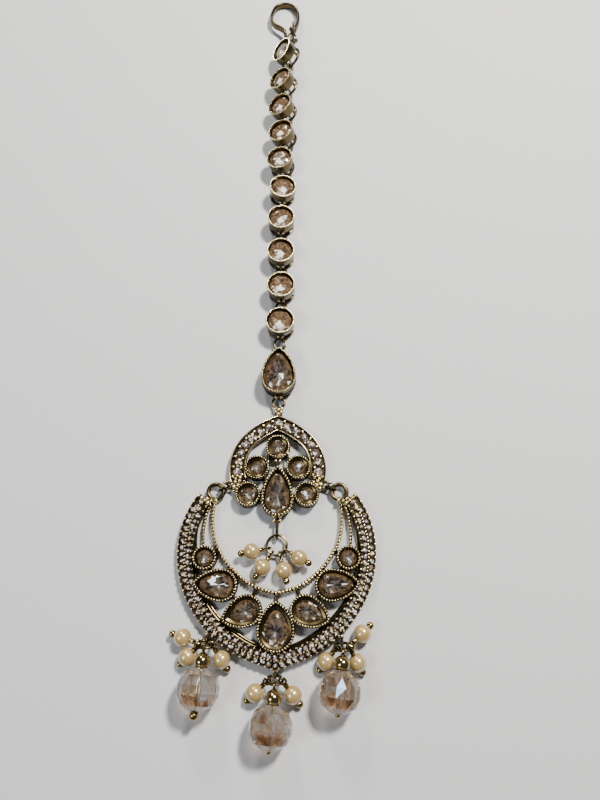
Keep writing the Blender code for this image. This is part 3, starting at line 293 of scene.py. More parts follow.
# How each cup lies: its step from the one before, its place to the side and how far it has rolled
CHAIN_LIE = (
    {"advance": 0.000, "sideways": 0.0276, "roll": 2},
    {"advance": 1.020, "sideways": 0.0387, "roll": 2},
    {"advance": 1.025, "sideways": 0.0110, "roll": 0},
    {"advance": 1.038, "sideways": 0.0110, "roll": 0},
    {"advance": 0.978, "sideways": 0.0276, "roll": -4},
    {"advance": 0.934, "sideways": 0.0166, "roll": 12},
    {"advance": 0.934, "sideways": 0.0829, "roll": 20},
    {"advance": 0.940, "sideways": 0.0884, "roll": 27},
    {"advance": 0.983, "sideways": 0.1160, "roll": 34},
    {"advance": 1.127, "sideways": 0.1989, "roll": 44},
)
MIDDLE_PEARLS = (
    {"name": "pearl_middle_1", "seat": 72, "heading": 192},
    {"name": "pearl_middle_2", "seat": 32, "heading": 236},
    {"name": "pearl_middle_3", "seat": -18, "heading": 285},
    {"name": "pearl_middle_4", "seat": -62, "heading": 330},
)
CLUSTERS = (
    {
        "name": "left",
        "rim_angle": -44,
        "lug": SIDE_LUG,
        "crystal_heading": 264,
        "pearls": ((100, 162), (58, 222), (-70, 303)),
    },
    {
        "name": "centre",
        "rim_angle": 0,
        "lug": MIDDLE_LUG,
        "crystal_heading": 265,
        "pearls": ((75, 222), (-75, 308)),
    },
    {
        "name": "right",
        "rim_angle": 42,
        "lug": SIDE_LUG,
        "crystal_heading": 263,
        "pearls": ((62, 232), (-60, 300), (-102, 42)),
    },
)
HOOK_PATH = (
    (0.06, -0.15),
    (-0.02, -0.03),
    (-0.25, 0.07),
    (-0.70, 0.19),
    (-0.98, 0.38),
    (-0.92, 0.68),
    (-0.55, 0.93),
    (0.00, 1.00),
    (0.55, 0.93),
    (0.95, 0.66),
    (0.98, 0.38),
    (0.84, 0.15),
    (0.62, 0.02),
    (0.42, 0.07),
)

# Heights and places that pieces share
EYELET_HEIGHT = EYELET_RADIUS + EYELET_WIRE + EYELET_LIFT
BODY_BOTTOM = 2 * BACK_RING_WIRE + BACK_RING_GAP
EYELET_REACH = 0.05 * MM
CUP_EYELET = CUP_RADIUS - EYELET_REACH
LINE_GAP = CUP_PITCH - 2 * CUP_EYELET
TIP_BOSS_Y = ARCH["centre"] + ARCH_RADIUS * ARCH["outline"][0]["outer"] + TIP_BOSS - 0.2 * MM
PLATE_EYELET_Y = TIP_BOSS_Y + TIP_BOSS + EYELET_RADIUS - EYELET_WIRE
DROP_LOW_EYELET_Y = PLATE_EYELET_Y + LINE_GAP
DROP_CENTRE_Y = DROP_LOW_EYELET_Y + DROP_RADIUS - EYELET_REACH
DROP_HIGH_EYELET_Y = DROP_CENTRE_Y + DROP_POINT + DROP_EYELET_REACH
FIRST_CUP_Y = DROP_HIGH_EYELET_Y + LINE_GAP + CUP_EYELET
ARCH_PEAR_Y = ARCH["centre"] - ARCH_PEAR_DROP * ARCH_RADIUS
BAIL = Vector((0, ARCH_PEAR_Y - ARCH_PEAR_RADIUS - EYELET_RADIUS + EYELET_WIRE, EYELET_HEIGHT))
STEM_LIFT = Vector((0, 0, STEM))
HOOK_RING_AXIS = Vector((0, math.cos(HOOK_RING_TILT), math.sin(HOOK_RING_TILT)))

# The camera and the stage
CAMERA_TARGET = Vector((4.677 * MM, 47.227 * MM, 0))
CAMERA_DISTANCE = 133.0 * MM
CAMERA_ELEVATION = math.radians(70)
CAMERA_LENS = 27
SENSOR_LENGTH = 36
FLOOR_HALF = 1.6
SKY_COLOUR = (0.80, 0.86, 1.0, 1)
SKY_STRENGTH = 0.11
LIGHT_AIM = Vector((0, 45 * MM, 0))
STUDIO_LIGHTS = (
    {"name": "key", "place": (0.16, 0.24, 0.36), "size": 0.06, "power": 4.4, "tint": (1.0, 0.97, 0.91)},
    {"name": "fill", "place": (-0.26, -0.05, 0.32), "size": 0.12, "power": 0.7, "tint": (0.90, 0.95, 1.0)},
    {"name": "back", "place": (-0.10, 0.44, 0.24), "size": 0.07, "power": 1.2, "tint": (1.0, 0.96, 0.88)},
)


def in_mm(name, description, length):
    return FloatProperty(
        name=name,
        description=description,
        default=length * MM,
        subtype="DISTANCE",
        unit="LENGTH",
    )


def in_rgb(name, description, colour):
    return FloatVectorProperty(
        name=name,
        description=description,
        default=colour,
        subtype="COLOR",
        size=3,
        min=0,
        max=1,
    )


class TikkaSizes(bpy.types.PropertyGroup):
    """Sizes of the jewel's small work."""

    mill_bead: in_mm("Mill bead", "Half the width of the beads on the bezels' rims", 0.31)
    mill_pitch: in_mm("Mill pitch", "Distance between the beads on the bezels' rims", 0.56)
    rope_bead: in_mm("Rope bead", "Half the width of the beads on the crescent's inner edge", 0.60)
    rim_stone: in_mm("Rim stone", "Radius of the small stones on the crescent's band", 0.52)
    plate_stone: in_mm("Plate stone", "Radius of the small stones on the plate's band", 0.94)
    grain: in_mm("Grain", "Radius of the grains that hold the small stones", 0.25)
    pearl: in_mm("Pearl", "Radius of a pearl", 1.7)
    crystal: in_mm("Crystal", "Radius of a crystal bead", 4.0)


class TikkaColours(bpy.types.PropertyGroup):
    """Colours of the jewel's finishes."""

    gold: in_rgb("Gold", "Worn gold on edges and beads", (0.80, 0.66, 0.37))
    bronze: in_rgb("Bronze", "Oxidised gold of walls, bands and wires", (0.108, 0.080, 0.037))
    patina: in_rgb("Patina", "Dark oxide in the recesses", (0.022, 0.017, 0.009))
    # The dark and pale tones of the stones are those of their painted facet light: painted shade and
    # painted reflection
    stone_dark: in_rgb("Stone, dark", "The dark facets of the cups' stones", (0.045, 0.024, 0.014))
    stone_body: in_rgb("Stone, body", "The champagne of the cups' stones", (0.145, 0.092, 0.047))
    stone_edge: in_rgb("Stone, edge", "The brown at the edges of the pear stones", (0.108, 0.066, 0.034))
    stone_pale: in_rgb("Stone, pale", "The lit facets of the cups' stones", (0.88, 0.82, 0.76))
    pearl: in_rgb("Pearl", "The cream of the pearls", (0.45, 0.325, 0.130))
    crystal: in_rgb("Crystal", "The champagne of the crystal beads", (0.86, 0.70, 0.54))
    floor: in_rgb("Floor", "The pale floor", (0.55, 0.55, 0.56))


def sizes():
    return bpy.context.scene.tikka_sizes


def colours():
    return bpy.context.scene.tikka_colours


# Places


def smooth_share(rows, key, where, value):
    """A value read from a table's column along a smooth curve through its rows."""
    places = [row[key] for row in rows]
    values = [row[value] for row in rows]
    last = len(rows) - 2
    index = 0
    while index < last and where > places[index + 1]:
        index += 1
    share = (where - places[index]) / (places[index + 1] - places[index])
    before = values[max(index - 1, 0)]
    after = values[min(index + 2, len(values) - 1)]
    low, high = values[index], values[index + 1]
    square, cube = share**2, share**3
    return (
        (2 * cube - 3 * square + 1) * low
        + (cube - 2 * square + share) * (high - before) / 2
        + (3 * square - 2 * cube) * high
        + (cube - square) * (after - low) / 2
    )


def heading_of(degrees):
    angle = math.radians(degrees)
    return Vector((math.cos(angle), math.sin(angle), 0))


def frame_of(origin, along, up):
    """A frame with Y along a direction and Z as near up as that allows."""
    y = Vector(along).normalized()
    x = y.cross(Vector(up)).normalized()
    z = x.cross(y)
    return Matrix.Translation(origin) @ Matrix((x, y, z)).transposed().to_4x4()


def turn(axis, degrees):
    return Matrix.Rotation(math.radians(degrees), 4, axis)


def shift(x, y, z):
    return Matrix.Translation((x, y, z))


def band_reach(band, degrees):
    """How far a band's outer and inner edges are from its centre, at an angle from its middle."""
    outer = band["radius"] * smooth_share(band["outline"], "angle", abs(degrees), "outer")
    inner = outer - band["width"] * smooth_share(band["outline"], "angle", abs(degrees), "width")
    return outer, inner


def band_place(band, degrees, reach, height):
    """A point on a band, from its angle and its distance from the band's centre."""
    angle = math.radians(degrees)
    up = band["side"] * reach * math.cos(angle)
    return Vector((reach * math.sin(angle), band["centre"] + up, height))


def band_line(band, share, height, end=None, start=None):
    """A line along a band, a share of its width in from the outer edge."""
    end = band["end"] if end is None else end
    start = -end if start is None else start
    line = []
    count = 180
    for step in range(count + 1):
        degrees = start + (end - start) * step / count
        outer, inner = band_reach(band, degrees)
        line.append(band_place(band, degrees, outer + (inner - outer) * share, height))
    return line


def spaced(line, pitch, closed=False, offset=0.0):
    """Points at an even spacing along a line, as near a pitch as its length allows."""
    points = [Vector(point) for point in line]
    if closed:
        points.append(points[0])
    lengths = [(after - before).length for before, after in zip(points, points[1:])]
    total = sum(lengths)
    count = max(round(total / pitch), 1)
    step = total / count
    number = count if closed else count + 1
    found = []
    index = 0
    passed = 0.0
    for order in range(number):
        where = (order + offset) * step
        if where > total:
            break
        while index < len(lengths) - 1 and passed + lengths[index] < where:
            passed += lengths[index]
            index += 1
        share = min((where - passed) / lengths[index], 1)
        found.append(points[index].lerp(points[index + 1], share))
    return found


def pear_place(angle, radius, point):
    """Where a circle's angle comes on a pear: half a circle below, two arcs to a point above."""
    x, y = radius * math.cos(angle), radius * math.sin(angle)
    if radius < WELD:
        return 0.0, point / 2
    if y <= 0 or point <= 0:
        return x, y
    side_radius = (point**2 + radius**2) / (2 * radius)
    sweep = math.asin(min(point / side_radius, 1))
    bend = sweep * (1 - abs(math.atan2(y, x) / (math.pi / 2) - 1))
    across = side_radius * math.cos(bend) - side_radius + radius
    return math.copysign(across, x), side_radius * math.sin(bend)


def pear_line(radius, point, inset, height, count=120):
    """A line round a pear, an inset in from its edge."""
    line = []
    for step in range(count):
        angle = 2 * math.pi * step / count
        x, y = pear_place(angle, radius - inset, point - POINT_INSET_SHARE * inset)
        line.append(Vector((x, y, height)))
    return line


def round_line(radius, height, count=72):
    return [heading_of(360 * step / count) * radius + Vector((0, 0, height)) for step in range(count)]


def inner_wire_line(height):
    """The crescent's inner edge, from one end through its lowest point to the other end."""
    half = []
    count = 70
    last = len(INNER_WIRE) - 1
    for step in range(count + 1):
        place = last * step / count
        across = smooth_share(INNER_WIRE, "place", place, "across") * INNER_WIRE_HALF_WIDTH
        up = smooth_share(INNER_WIRE, "place", place, "up") * INNER_WIRE_HEIGHT + INNER_WIRE_LIFT
        half.append(Vector((across, up, height)))
    return [Vector((-point.x, point.y, point.z)) for point in reversed(half[1:])] + half


def crescent_pears():
    """The crescent's pear settings: the middle one, then each pair with its left one mirrored."""
    rows = [MIDDLE_PEAR]
    for row in PEAR_PAIRS:
        other = {"across": -row["across"], "heading": 180 - row["heading"]}
        rows.append({**row, **other, "name": f"left_{row['name']}"})
        rows.append({**row, "name": f"right_{row['name']}"})
    return rows


def pear_size(row):
    return row["radius"] * CRESCENT_RADIUS, row["point"] * CRESCENT_RADIUS


def pear_frame(row):
    seat = Vector((row["across"] * CRESCENT_RADIUS, CRESCENT_RISE + row["up"] * CRESCENT_RADIUS, 0))
    return Matrix.Translation(seat) @ turn("Z", row["heading"] - 90)


def seats_of(shares, band):
    return [Vector((x * band["radius"], band["centre"] + y * band["radius"], 0)) for x, y in shares]


def side_places(side):
    """The plate's corner eyelet and the ring on the crescent's tip, on one side."""
    across = side * CORNER_ACROSS * ARCH_RADIUS
    corner = Vector((across, ARCH["centre"] - CORNER_DROP * ARCH_RADIUS, EYELET_HEIGHT))
    return corner, corner + Vector((side * TIP_REACH_ACROSS, -TIP_REACH_DOWN, 0))


def rim_eyelet(cluster):
    """The centre of the eyelet that carries a cluster below the crescent."""
    outer, _ = band_reach(CRESCENT, cluster["rim_angle"])
    rim = band_place(CRESCENT, cluster["rim_angle"], outer, EYELET_HEIGHT)
    return rim - Vector((0, cluster["lug"] + EYELET_RADIUS, 0))


def cup_frame(index):
    """Where a cup lies: its origin is on its line of links."""
    row = CHAIN_LIE[index]
    before = CHAIN_LIE[max(index - 1, 0)]["sideways"]
    after = CHAIN_LIE[min(index + 1, CUP_COUNT - 1)]["sideways"]
    roll = math.radians(row["roll"])
    drop = EYELET_HEIGHT - BACK_RING_WIRE
    height = BACK_RING_RADIUS * math.sin(abs(roll)) + drop * math.cos(roll) + BACK_RING_WIRE
    advance = sum(lie["advance"] for lie in CHAIN_LIE[: index + 1])
    origin = (row["sideways"] * CUP_PITCH, FIRST_CUP_Y + advance * CUP_PITCH, height)
    return frame_of(origin, ((after - before) / 2, 1, 0), (-math.sin(roll), 0, math.cos(roll)))


def cup_frames():
    return [cup_frame(index) for index in range(CUP_COUNT)]


def six_round(middle, radius, height, start):
    """Six points in a circle round a place."""
    return [middle + heading_of(60 * step + start) * radius + Vector((0, 0, height)) for step in range(6)]


def mm(x, y, z):
    """A vector given in millimetres."""
    return Vector((x * MM, y * MM, z * MM))


def pair_at(middle, across, along, up):
    """Two places, left and right of a middle, given from it in millimetres."""
    return [Vector(middle) + mm(side * across, along, up) for side in (-1, 1)]


def seated(points):
    """The frames of forms that stand unturned at some points."""
    return [Matrix.Translation(point) for point in points]


def mirrored(half, width):
    """The second half of a band's section, from its first half."""
    return tuple((width - inset, height) for inset, height in reversed(half))


def up_of(place):
    """The direction in which a frame's Z points."""
    return place.to_3x3() @ Vector((0, 0, 1))


def ring_seat(centre, far, left, radius, degrees):
    """A point on a ring and the direction of its wire there."""
    angle = math.radians(degrees)
    seat = centre + (far * math.cos(angle) + left * math.sin(angle)) * radius
    return seat, left * math.cos(angle) - far * math.sin(angle)


def hanging_frame(reach, seat, tangent, heading, rest_height):
    """The frame of a drop that hangs by its loop from a ring's wire and rests on the surface."""
    rise = (seat.z - rest_height) / reach
    away = heading_of(heading) * math.sqrt(1 - rise**2) - Vector((0, 0, rise))
    return frame_of(seat + away * reach, -away, tangent.cross(-away))


def pearl_reach():
    return sizes().pearl + PEARL_PIN + EYELET_RADIUS


def crystal_reach():
    return CRYSTAL_LENGTH / 2 + 1.7 * CRYSTAL_BALL + CRYSTAL_PIN + EYELET_RADIUS


def drop_ring(cluster):
    """The centre of a cluster's ring, and the ring's own two directions."""
    far = Vector((0, -math.cos(DROP_RING_TILT), math.sin(DROP_RING_TILT)))
    return rim_eyelet(cluster) + far * DROP_RING_RADIUS, far, Vector((-1, 0, 0))


def middle_ring_centre():
    inside = MIDDLE_RING_RADIUS - DROP_RING_WIRE - LINK_WIRE - WIRE_GAP
    return BAIL - Vector((0, 2 * MIDDLE_LINK_HALF_LENGTH + inside, 0))


def pearl_frames():
    """The frame of every pearl, by the name of its node."""
    frames = {}
    far, left = Vector((0, -1, 0)), Vector((-1, 0, 0))
    for row in MIDDLE_PEARLS:
        seat, tangent = ring_seat(middle_ring_centre(), far, left, MIDDLE_RING_RADIUS, row["seat"])
        frames[row["name"]] = hanging_frame(pearl_reach(), seat, tangent, row["heading"], sizes().pearl)
    for cluster in CLUSTERS:
        centre, far, left = drop_ring(cluster)
        for index, (place, heading) in enumerate(cluster["pearls"]):
            seat, tangent = ring_seat(centre, far, left, DROP_RING_RADIUS, place)
            name = f"pearl_{cluster['name']}_{index + 1}"
            frames[name] = hanging_frame(pearl_reach(), seat, tangent, heading, sizes().pearl)
    return frames


def crystal_frames():
    frames = {}
    for cluster in CLUSTERS:
        centre, far, left = drop_ring(cluster)
        seat, tangent = ring_seat(centre, far, left, DROP_RING_RADIUS, 0)
        heading = cluster["crystal_heading"]
        frames[f"crystal_{cluster['name']}"] = hanging_frame(
            crystal_reach(), seat, tangent, heading, sizes().crystal
        )
    return frames


# Forms


def closed_form(form):
    bmesh.ops.remove_doubles(form, verts=form.verts, dist=WELD)
    bmesh.ops.recalc_face_normals(form, faces=form.faces)
    return form


def smoothed(form):
    for face in form.faces:
        face.smooth = True
    return form


def brightened(form):
    """Gives a form the second finish of its piece, the one that is worn bright."""
    for face in form.faces:
        face.material_index = 1
    return form


def spun(form, section, steps):
    """A closed form, made by spinning its section once round Z."""
    bmesh.ops.spin(
        form,
        geom=section,
        cent=(0, 0, 0),
        axis=(0, 0, 1),
        dvec=(0, 0, 0),
        angle=2 * math.pi,
        steps=steps,
        use_merge=True,
        use_duplicate=False,
    )
    return closed_form(form)


def turned(profile, steps):
    """A closed form spun about Z from a profile of (radius, height), listed from the top down."""
    form = bmesh.new()
    verts = [form.verts.new((radius, 0, height)) for radius, height in profile]
    edges = [form.edges.new(pair) for pair in zip(verts, verts[1:])]
    return spun(form, verts + edges, steps)


def drawn_to_point(form, radius, point):
    """Draws a round form out to a pear, its point along +Y."""
    for vertex in form.verts:
        out = math.hypot(vertex.co.x, vertex.co.y)
        angle = math.atan2(vertex.co.y, vertex.co.x)
        reach = point - POINT_INSET_SHARE * (radius - out)
        vertex.co.x, vertex.co.y = pear_place(angle, out, reach)
    return form


def ring_form(radius, wire, stretch=0.0, steps=32, sides=10):
    """A closed wire ring about Z, drawn out along Y by a stretch."""
    form = bmesh.new()
    place = shift(radius, 0, 0) @ turn("X", 90)
    section = bmesh.ops.create_circle(form, cap_ends=False, radius=wire, segments=sides, matrix=place)
    spun(form, section["verts"] + list(form.edges), steps)
    for vertex in form.verts:
        if abs(vertex.co.y) > WELD:
            vertex.co.y += math.copysign(stretch, vertex.co.y)
    return smoothed(form)


def ball_form(radius, across=16, rings=10):
    form = bmesh.new()
    bmesh.ops.create_uvsphere(form, u_segments=across, v_segments=rings, radius=radius)
    return smoothed(form)


def post_form(start, end, radius, sides=10):
    """A short round post between two points."""
    form = bmesh.new()
    start, end = Vector(start), Vector(end)
    place = frame_of((start + end) / 2, end - start, (0.1, 0.2, 1)) @ turn("X", 90)
    bmesh.ops.create_cone(
        form,
        cap_ends=True,
        segments=sides,
        radius1=radius,
        radius2=radius,
        depth=(end - start).length,
        matrix=place,
    )
    return smoothed(form)


def swept_form(line, radius, tall=0.0, soft=False, corner=2):
    """A wire or a strip on edge along a line."""
    curve = bpy.data.curves.new("line", "CURVE")
    curve.dimensions = "3D"
    curve.twist_mode = "Z_UP"
    curve.bevel_depth = radius
    curve.bevel_resolution = corner
    curve.extrude = tall
    curve.use_fill_caps = True
    curve.resolution_u = 10
    spline = curve.splines.new("BEZIER" if soft else "POLY")
    slots = spline.bezier_points if soft else spline.points
    slots.add(len(line) - 1)
    for slot, point in zip(slots, line):
        if soft:
            slot.co = point
            slot.handle_left_type = "AUTO"
            slot.handle_right_type = "AUTO"
        else:
            slot.co = (*point, 1)
    helper = bpy.data.objects.new("line", curve)
    bpy.context.scene.collection.objects.link(helper)
    bpy.context.view_layer.update()
    graph = bpy.context.evaluated_depsgraph_get()
    mesh = bpy.data.meshes.new_from_object(helper.evaluated_get(graph))
    bpy.data.objects.remove(helper)
    bpy.data.curves.remove(curve)
    form = bmesh.new()
    form.from_mesh(mesh)
    bpy.data.meshes.remove(mesh)
    return smoothed(closed_form(form))


def poured(form, shape, place=None):
    """Adds a form to a piece, at its place, and lets the form go."""
    mesh = bpy.data.meshes.new("form")
    form.to_mesh(mesh)
    form.free()
    if place is not None:
        mesh.transform(place)
    shape.from_mesh(mesh)
    bpy.data.meshes.remove(mesh)


def repeated(form, shape, places):
    """Adds a form to a piece at each of several places."""
    mesh = bpy.data.meshes.new("form")
    form.to_mesh(mesh)
    form.free()
    row = bmesh.new()
    for place in places:
        copy = mesh.copy()
        copy.transform(place)
        row.from_mesh(copy)
        bpy.data.meshes.remove(copy)
    bpy.data.meshes.remove(mesh)
    poured(row, shape)


def beaded(shape, points, radius, across=8, rings=5):
    """A row of small round beads of the brighter finish, one at each point."""
    bead = brightened(ball_form(radius, across, rings))
    repeated(bead, shape, seated(points))


def grained(shape, points, radius):
    """Solder grains, one at each point: rounder beads, for they are larger."""
    beaded(shape, points, radius, across=10, rings=6)


def roped(shape, line, radius, pitch, place=None, closed=False, slant=28, thin=0.62):
    """Flattened beads of the brighter finish, set aslant along a line as on a twisted wire."""
    place = place or Matrix.Identity(4)
    points = spaced(line, pitch, closed)
    bead = brightened(ball_form(radius, 10, 6))
    lie = turn("Z", slant) @ Matrix.Diagonal((1.0, thin, 0.92, 1.0))
    places = []
    for index, point in enumerate(points):
        after = points[(index + 1) % len(points)] if closed else points[min(index + 1, len(points) - 1)]
        before = points[index - 1] if closed else points[max(index - 1, 0)]
        places.append(place @ frame_of(point, after - before, (0, 0, 1)) @ lie)
    repeated(bead, shape, places)


def bezel_form(radius, height, steps, point=None, bottom=0.0, collar=COLLAR):
    """An open bezel: a wall with a rounded foot and rim, a groove, a collar that slopes in, and a seat."""
    rim = height - 0.12 * MM
    seat = radius - RIM_THICKNESS - collar
    profile = (
        (0, rim - 1.15 * MM),
        (seat - 0.06 * MM, rim - 1.15 * MM),
        (seat, rim - 0.62 * MM),
        (seat + 0.08 * MM, rim - 0.46 * MM),
        (seat + collar - 0.14 * MM, rim - 0.27 * MM),
        (seat + collar - 0.05 * MM, rim - 0.46 * MM),
        (seat + collar + 0.02 * MM, rim - 0.46 * MM),
        (radius - 0.42 * MM, rim),
        (radius - 0.12 * MM, rim),
        (radius - 0.02 * MM, rim - 0.12 * MM),
        (radius - 0.02 * MM, rim - 0.34 * MM),
        (radius - 0.16 * MM, rim - 0.46 * MM),
        (radius - 0.16 * MM, bottom + 0.55 * MM),
        (radius, bottom + 0.40 * MM),
        (radius, bottom + 0.08 * MM),
        (radius - 0.08 * MM, bottom),
        (0, bottom),
    )
    form = turned(profile, steps)
    if point is not None:
        drawn_to_point(form, radius, point)
    return smoothed(form)


def facet_layers(form):
    """The two values of each facet: how well it is lit, and how near it is to the stone's edge."""
    return form.faces.layers.float.new(FACET_LIGHT), form.faces.layers.float.new(FACET_EDGE)


def stone_form(
    radius,
    girdle,
    rise,
    depth,
    steps,
    lights,
    point=None,
    fan=0.34,
    lean=0.0,
    down=(0, -1, 0),
):
    """A cut stone with star and kite facets.

    The middle is a fan. The facets get painted light by level, and a lean paints more light on those that
    face down the picture and a little painted shade on the rest.
    """
    levels = (
        (0.0, rise),
        (fan, rise * 0.98),
        (KITE_SHARE, rise * 0.92),
        (0.86, rise * 0.48),
        (1.0, 0.08 * MM),
        (1.0, -0.08 * MM),
        (0.6, -depth),
        (0.0, -depth),
    )
    form = turned([(share * radius, girdle + height) for share, height in levels], steps)
    half_step = Matrix.Rotation(math.pi / steps, 3, "Z")
    for vertex in form.verts:
        out = math.hypot(vertex.co.x, vertex.co.y) / radius
        if abs(out - KITE_SHARE) < 0.01:
            vertex.co = half_step @ vertex.co
        if abs(out - fan) < 0.01:
            vertex.co = half_step @ half_step @ vertex.co
    bmesh.ops.triangulate(form, faces=form.faces, quad_method="SHORT_EDGE")
    light, edge = facet_layers(form)
    for face in form.faces:
        middle = face.calc_center_median()
        out = math.hypot(middle.x, middle.y) / radius
        level = 0 if out < fan else 1 if out < KITE_SHARE + 0.02 else 2
        low = max(Vector((middle.x, middle.y, 0)).normalized().dot(down), 0)
        # Painted light by level, more on the facets facing down the picture, a little painted shade on the
        # rest
        face[light] = lights[level] + lean * (1.4 * low**4 - 0.25) * (1.2 - out)
        face[edge] = min(max((out - 0.25) / 0.5, 0.0), 1.0)
        face.smooth = False
    if point is not None:
        drawn_to_point(form, radius, point)
    bmesh.ops.recalc_face_normals(form, faces=form.faces)
    return form


def small_stone_form(radius, steps):
    """A small round stone with a low crown."""
    levels = ((0.0, 0.36), (0.50, 0.36), (1.0, 0.0), (0.9, -0.3), (0.0, -0.3))
    form = turned([(share * radius, height * radius) for share, height in levels], steps)
    light, edge = facet_layers(form)
    for face in form.faces:
        middle = face.calc_center_median()
        out = math.hypot(middle.x, middle.y) / radius
        # Painted light: the middle facets are painted paler than the ring round them
        face[light] = RIM_LIGHTS[0] if out < 0.45 else RIM_LIGHTS[1]
        face[edge] = 1.0 if out > 0.45 else 0.0
        face.smooth = False
    return form


def by_place(face):
    """A face's middle in tenths of a micrometre, so that every run takes the faces in the same order."""
    middle = face.calc_center_median()
    return tuple(round(value * 1.0e7) for value in middle)


def scattered(shape, spread, sparks, seed):
    """Gives each facet its own painted light, about its level's share, and paints a few of them as full
    glints.
    """
    draw = random.Random(seed)
    light = shape.faces.layers.float.get(FACET_LIGHT)
    for face in sorted(shape.faces, key=by_place):
        share = face[light] + draw.uniform(-spread, spread)
        if draw.random() < sparks:
            share = 1.0
        face[light] = min(max(share, 0.0), 1.0)


def with_painted_glints(shape, glint_places):
    """Paints glints: full painted light on the facets near each of several places, as if they caught the
    lamp.
    """
    light = shape.faces.layers.float.get(FACET_LIGHT)
    for x, y, reach in glint_places:
        for face in shape.faces:
            middle = face.calc_center_median()
            if math.hypot(middle.x - x, middle.y - y) < reach and middle.z > 1.0 * MM:
                face[light] = PAINTED_GLINT_LIGHT


def band_form(band, section):
    """A band with a given section, spun about its centre and then drawn to the band's outline."""
    form = bmesh.new()
    start = -band["end"]
    centre = Vector((0, band["centre"], 0))
    corners = [band_place(band, start, band["radius"] - inset, height) for inset, height in section]
    verts = [form.verts.new(corner - centre) for corner in corners]
    edges = [form.edges.new(pair) for pair in zip(verts, verts[1:] + verts[:1])]
    made = bmesh.ops.spin(
        form,
        geom=verts + edges,
        cent=(0, 0, 0),
        axis=(0, 0, 1),
        dvec=(0, 0, 0),
        angle=-band["side"] * math.radians(2 * band["end"]),
        steps=150,
        use_merge=False,
        use_duplicate=False,
    )
    last = [item for item in made["geom_last"] if isinstance(item, bmesh.types.BMEdge)]
    bmesh.ops.contextual_create(form, geom=edges)
    bmesh.ops.contextual_create(form, geom=last)
    for vertex in form.verts:
        degrees = math.degrees(math.atan2(vertex.co.x, band["side"] * vertex.co.y))
        inset = band["radius"] - math.hypot(vertex.co.x, vertex.co.y)
        outer, inner = band_reach(band, degrees)
        if inset <= band["width"]:
            reach = outer + (inner - outer) * inset / band["width"]
        else:
            fade = min(max((LEDGE_END - abs(degrees)) / LEDGE_FADE, 0.12), 1)
            reach = inner - (inset - band["width"]) * fade
        vertex.co = band_place(band, degrees, reach, vertex.co.z)
    return smoothed(closed_form(form))


def finished(name, shape, finishes, nodes, cut=False):
    """Makes a piece's object, at the origin, hangs it on the body that it rides on, and hides the model's
    parts that it stands for.
    """
    mesh = bpy.data.meshes.new(name)
    shape.to_mesh(mesh)
    shape.free()
    for finish in finishes:
        mesh.materials.append(finish)
    if not cut:
        mesh.set_sharp_from_angle(angle=CREASE)
    piece = bpy.data.objects.new(name, mesh)
    bpy.context.scene.collection.objects.link(piece)
    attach(piece, "root")
    if nodes:
        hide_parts(*nodes)


# Finishes


def new_node(tree, kind, place=(0, 0), **values):
    node = tree.nodes.new(kind)
    node.location = place
    for name, value in values.items():
        setattr(node, name, value)
    return node


def group_sockets(tree, inputs, outputs):
    """Gives a group its inputs and outputs: four values make a colour, and one makes a number."""
    for way, sockets in (("INPUT", inputs), ("OUTPUT", outputs)):
        for name, value in sockets.items():
            kind = "NodeSocketColor" if isinstance(value, tuple) else "NodeSocketFloat"
            socket = tree.interface.new_socket(name=name, in_out=way, socket_type=kind)
            socket.default_value = value
    return tree.nodes.new("NodeGroupInput"), tree.nodes.new("NodeGroupOutput")


def with_inputs(node, values):
    """Sets a node's inputs, by their names or numbers."""
    for name, value in values.items():
        node.inputs[name].default_value = value
    return node


def mixed(tree, factor, first, second, **values):
    """Two colours mixed by a factor."""
    mix = new_node(tree, "ShaderNodeMix", data_type="RGBA", **values)
    tree.links.new(factor, mix.inputs["Factor"])
    tree.links.new(first, mix.inputs[6])
    tree.links.new(second, mix.inputs[7])
    return mix.outputs[2]


def ranged(tree, value, limits):
    """The node that brings a value from its limits to 0 and 1."""
    node = with_inputs(new_node(tree, "ShaderNodeMapRange"), {"From Min": limits[0], "From Max": limits[1]})
    tree.links.new(value, node.inputs["Value"])
    return node


def scaled(tree, value, factor, offset=0.0):
    """The node that takes a value times a factor, plus an offset."""
    node = with_inputs(new_node(tree, "ShaderNodeMath", operation="MULTIPLY_ADD"), {1: factor, 2: offset})
    tree.links.new(value, node.inputs[0])
    return node


def summed(tree, first, second):
    """The sum of two values, kept between 0 and 1."""
    node = new_node(tree, "ShaderNodeMath", operation="ADD", use_clamp=True)
    tree.links.new(first, node.inputs[0])
    tree.links.new(second, node.inputs[1])
    return node.outputs["Value"]


def clouds(tree, scale, detail=2.0):
    """Soft clouds over a piece, in its own frame."""
    place = new_node(tree, "ShaderNodeTexCoord")
    cloud = with_inputs(new_node(tree, "ShaderNodeTexNoise"), {"Scale": scale, "Detail": detail})
    tree.links.new(place.outputs["Object"], cloud.inputs["Vector"])
    return cloud.outputs["Fac"]


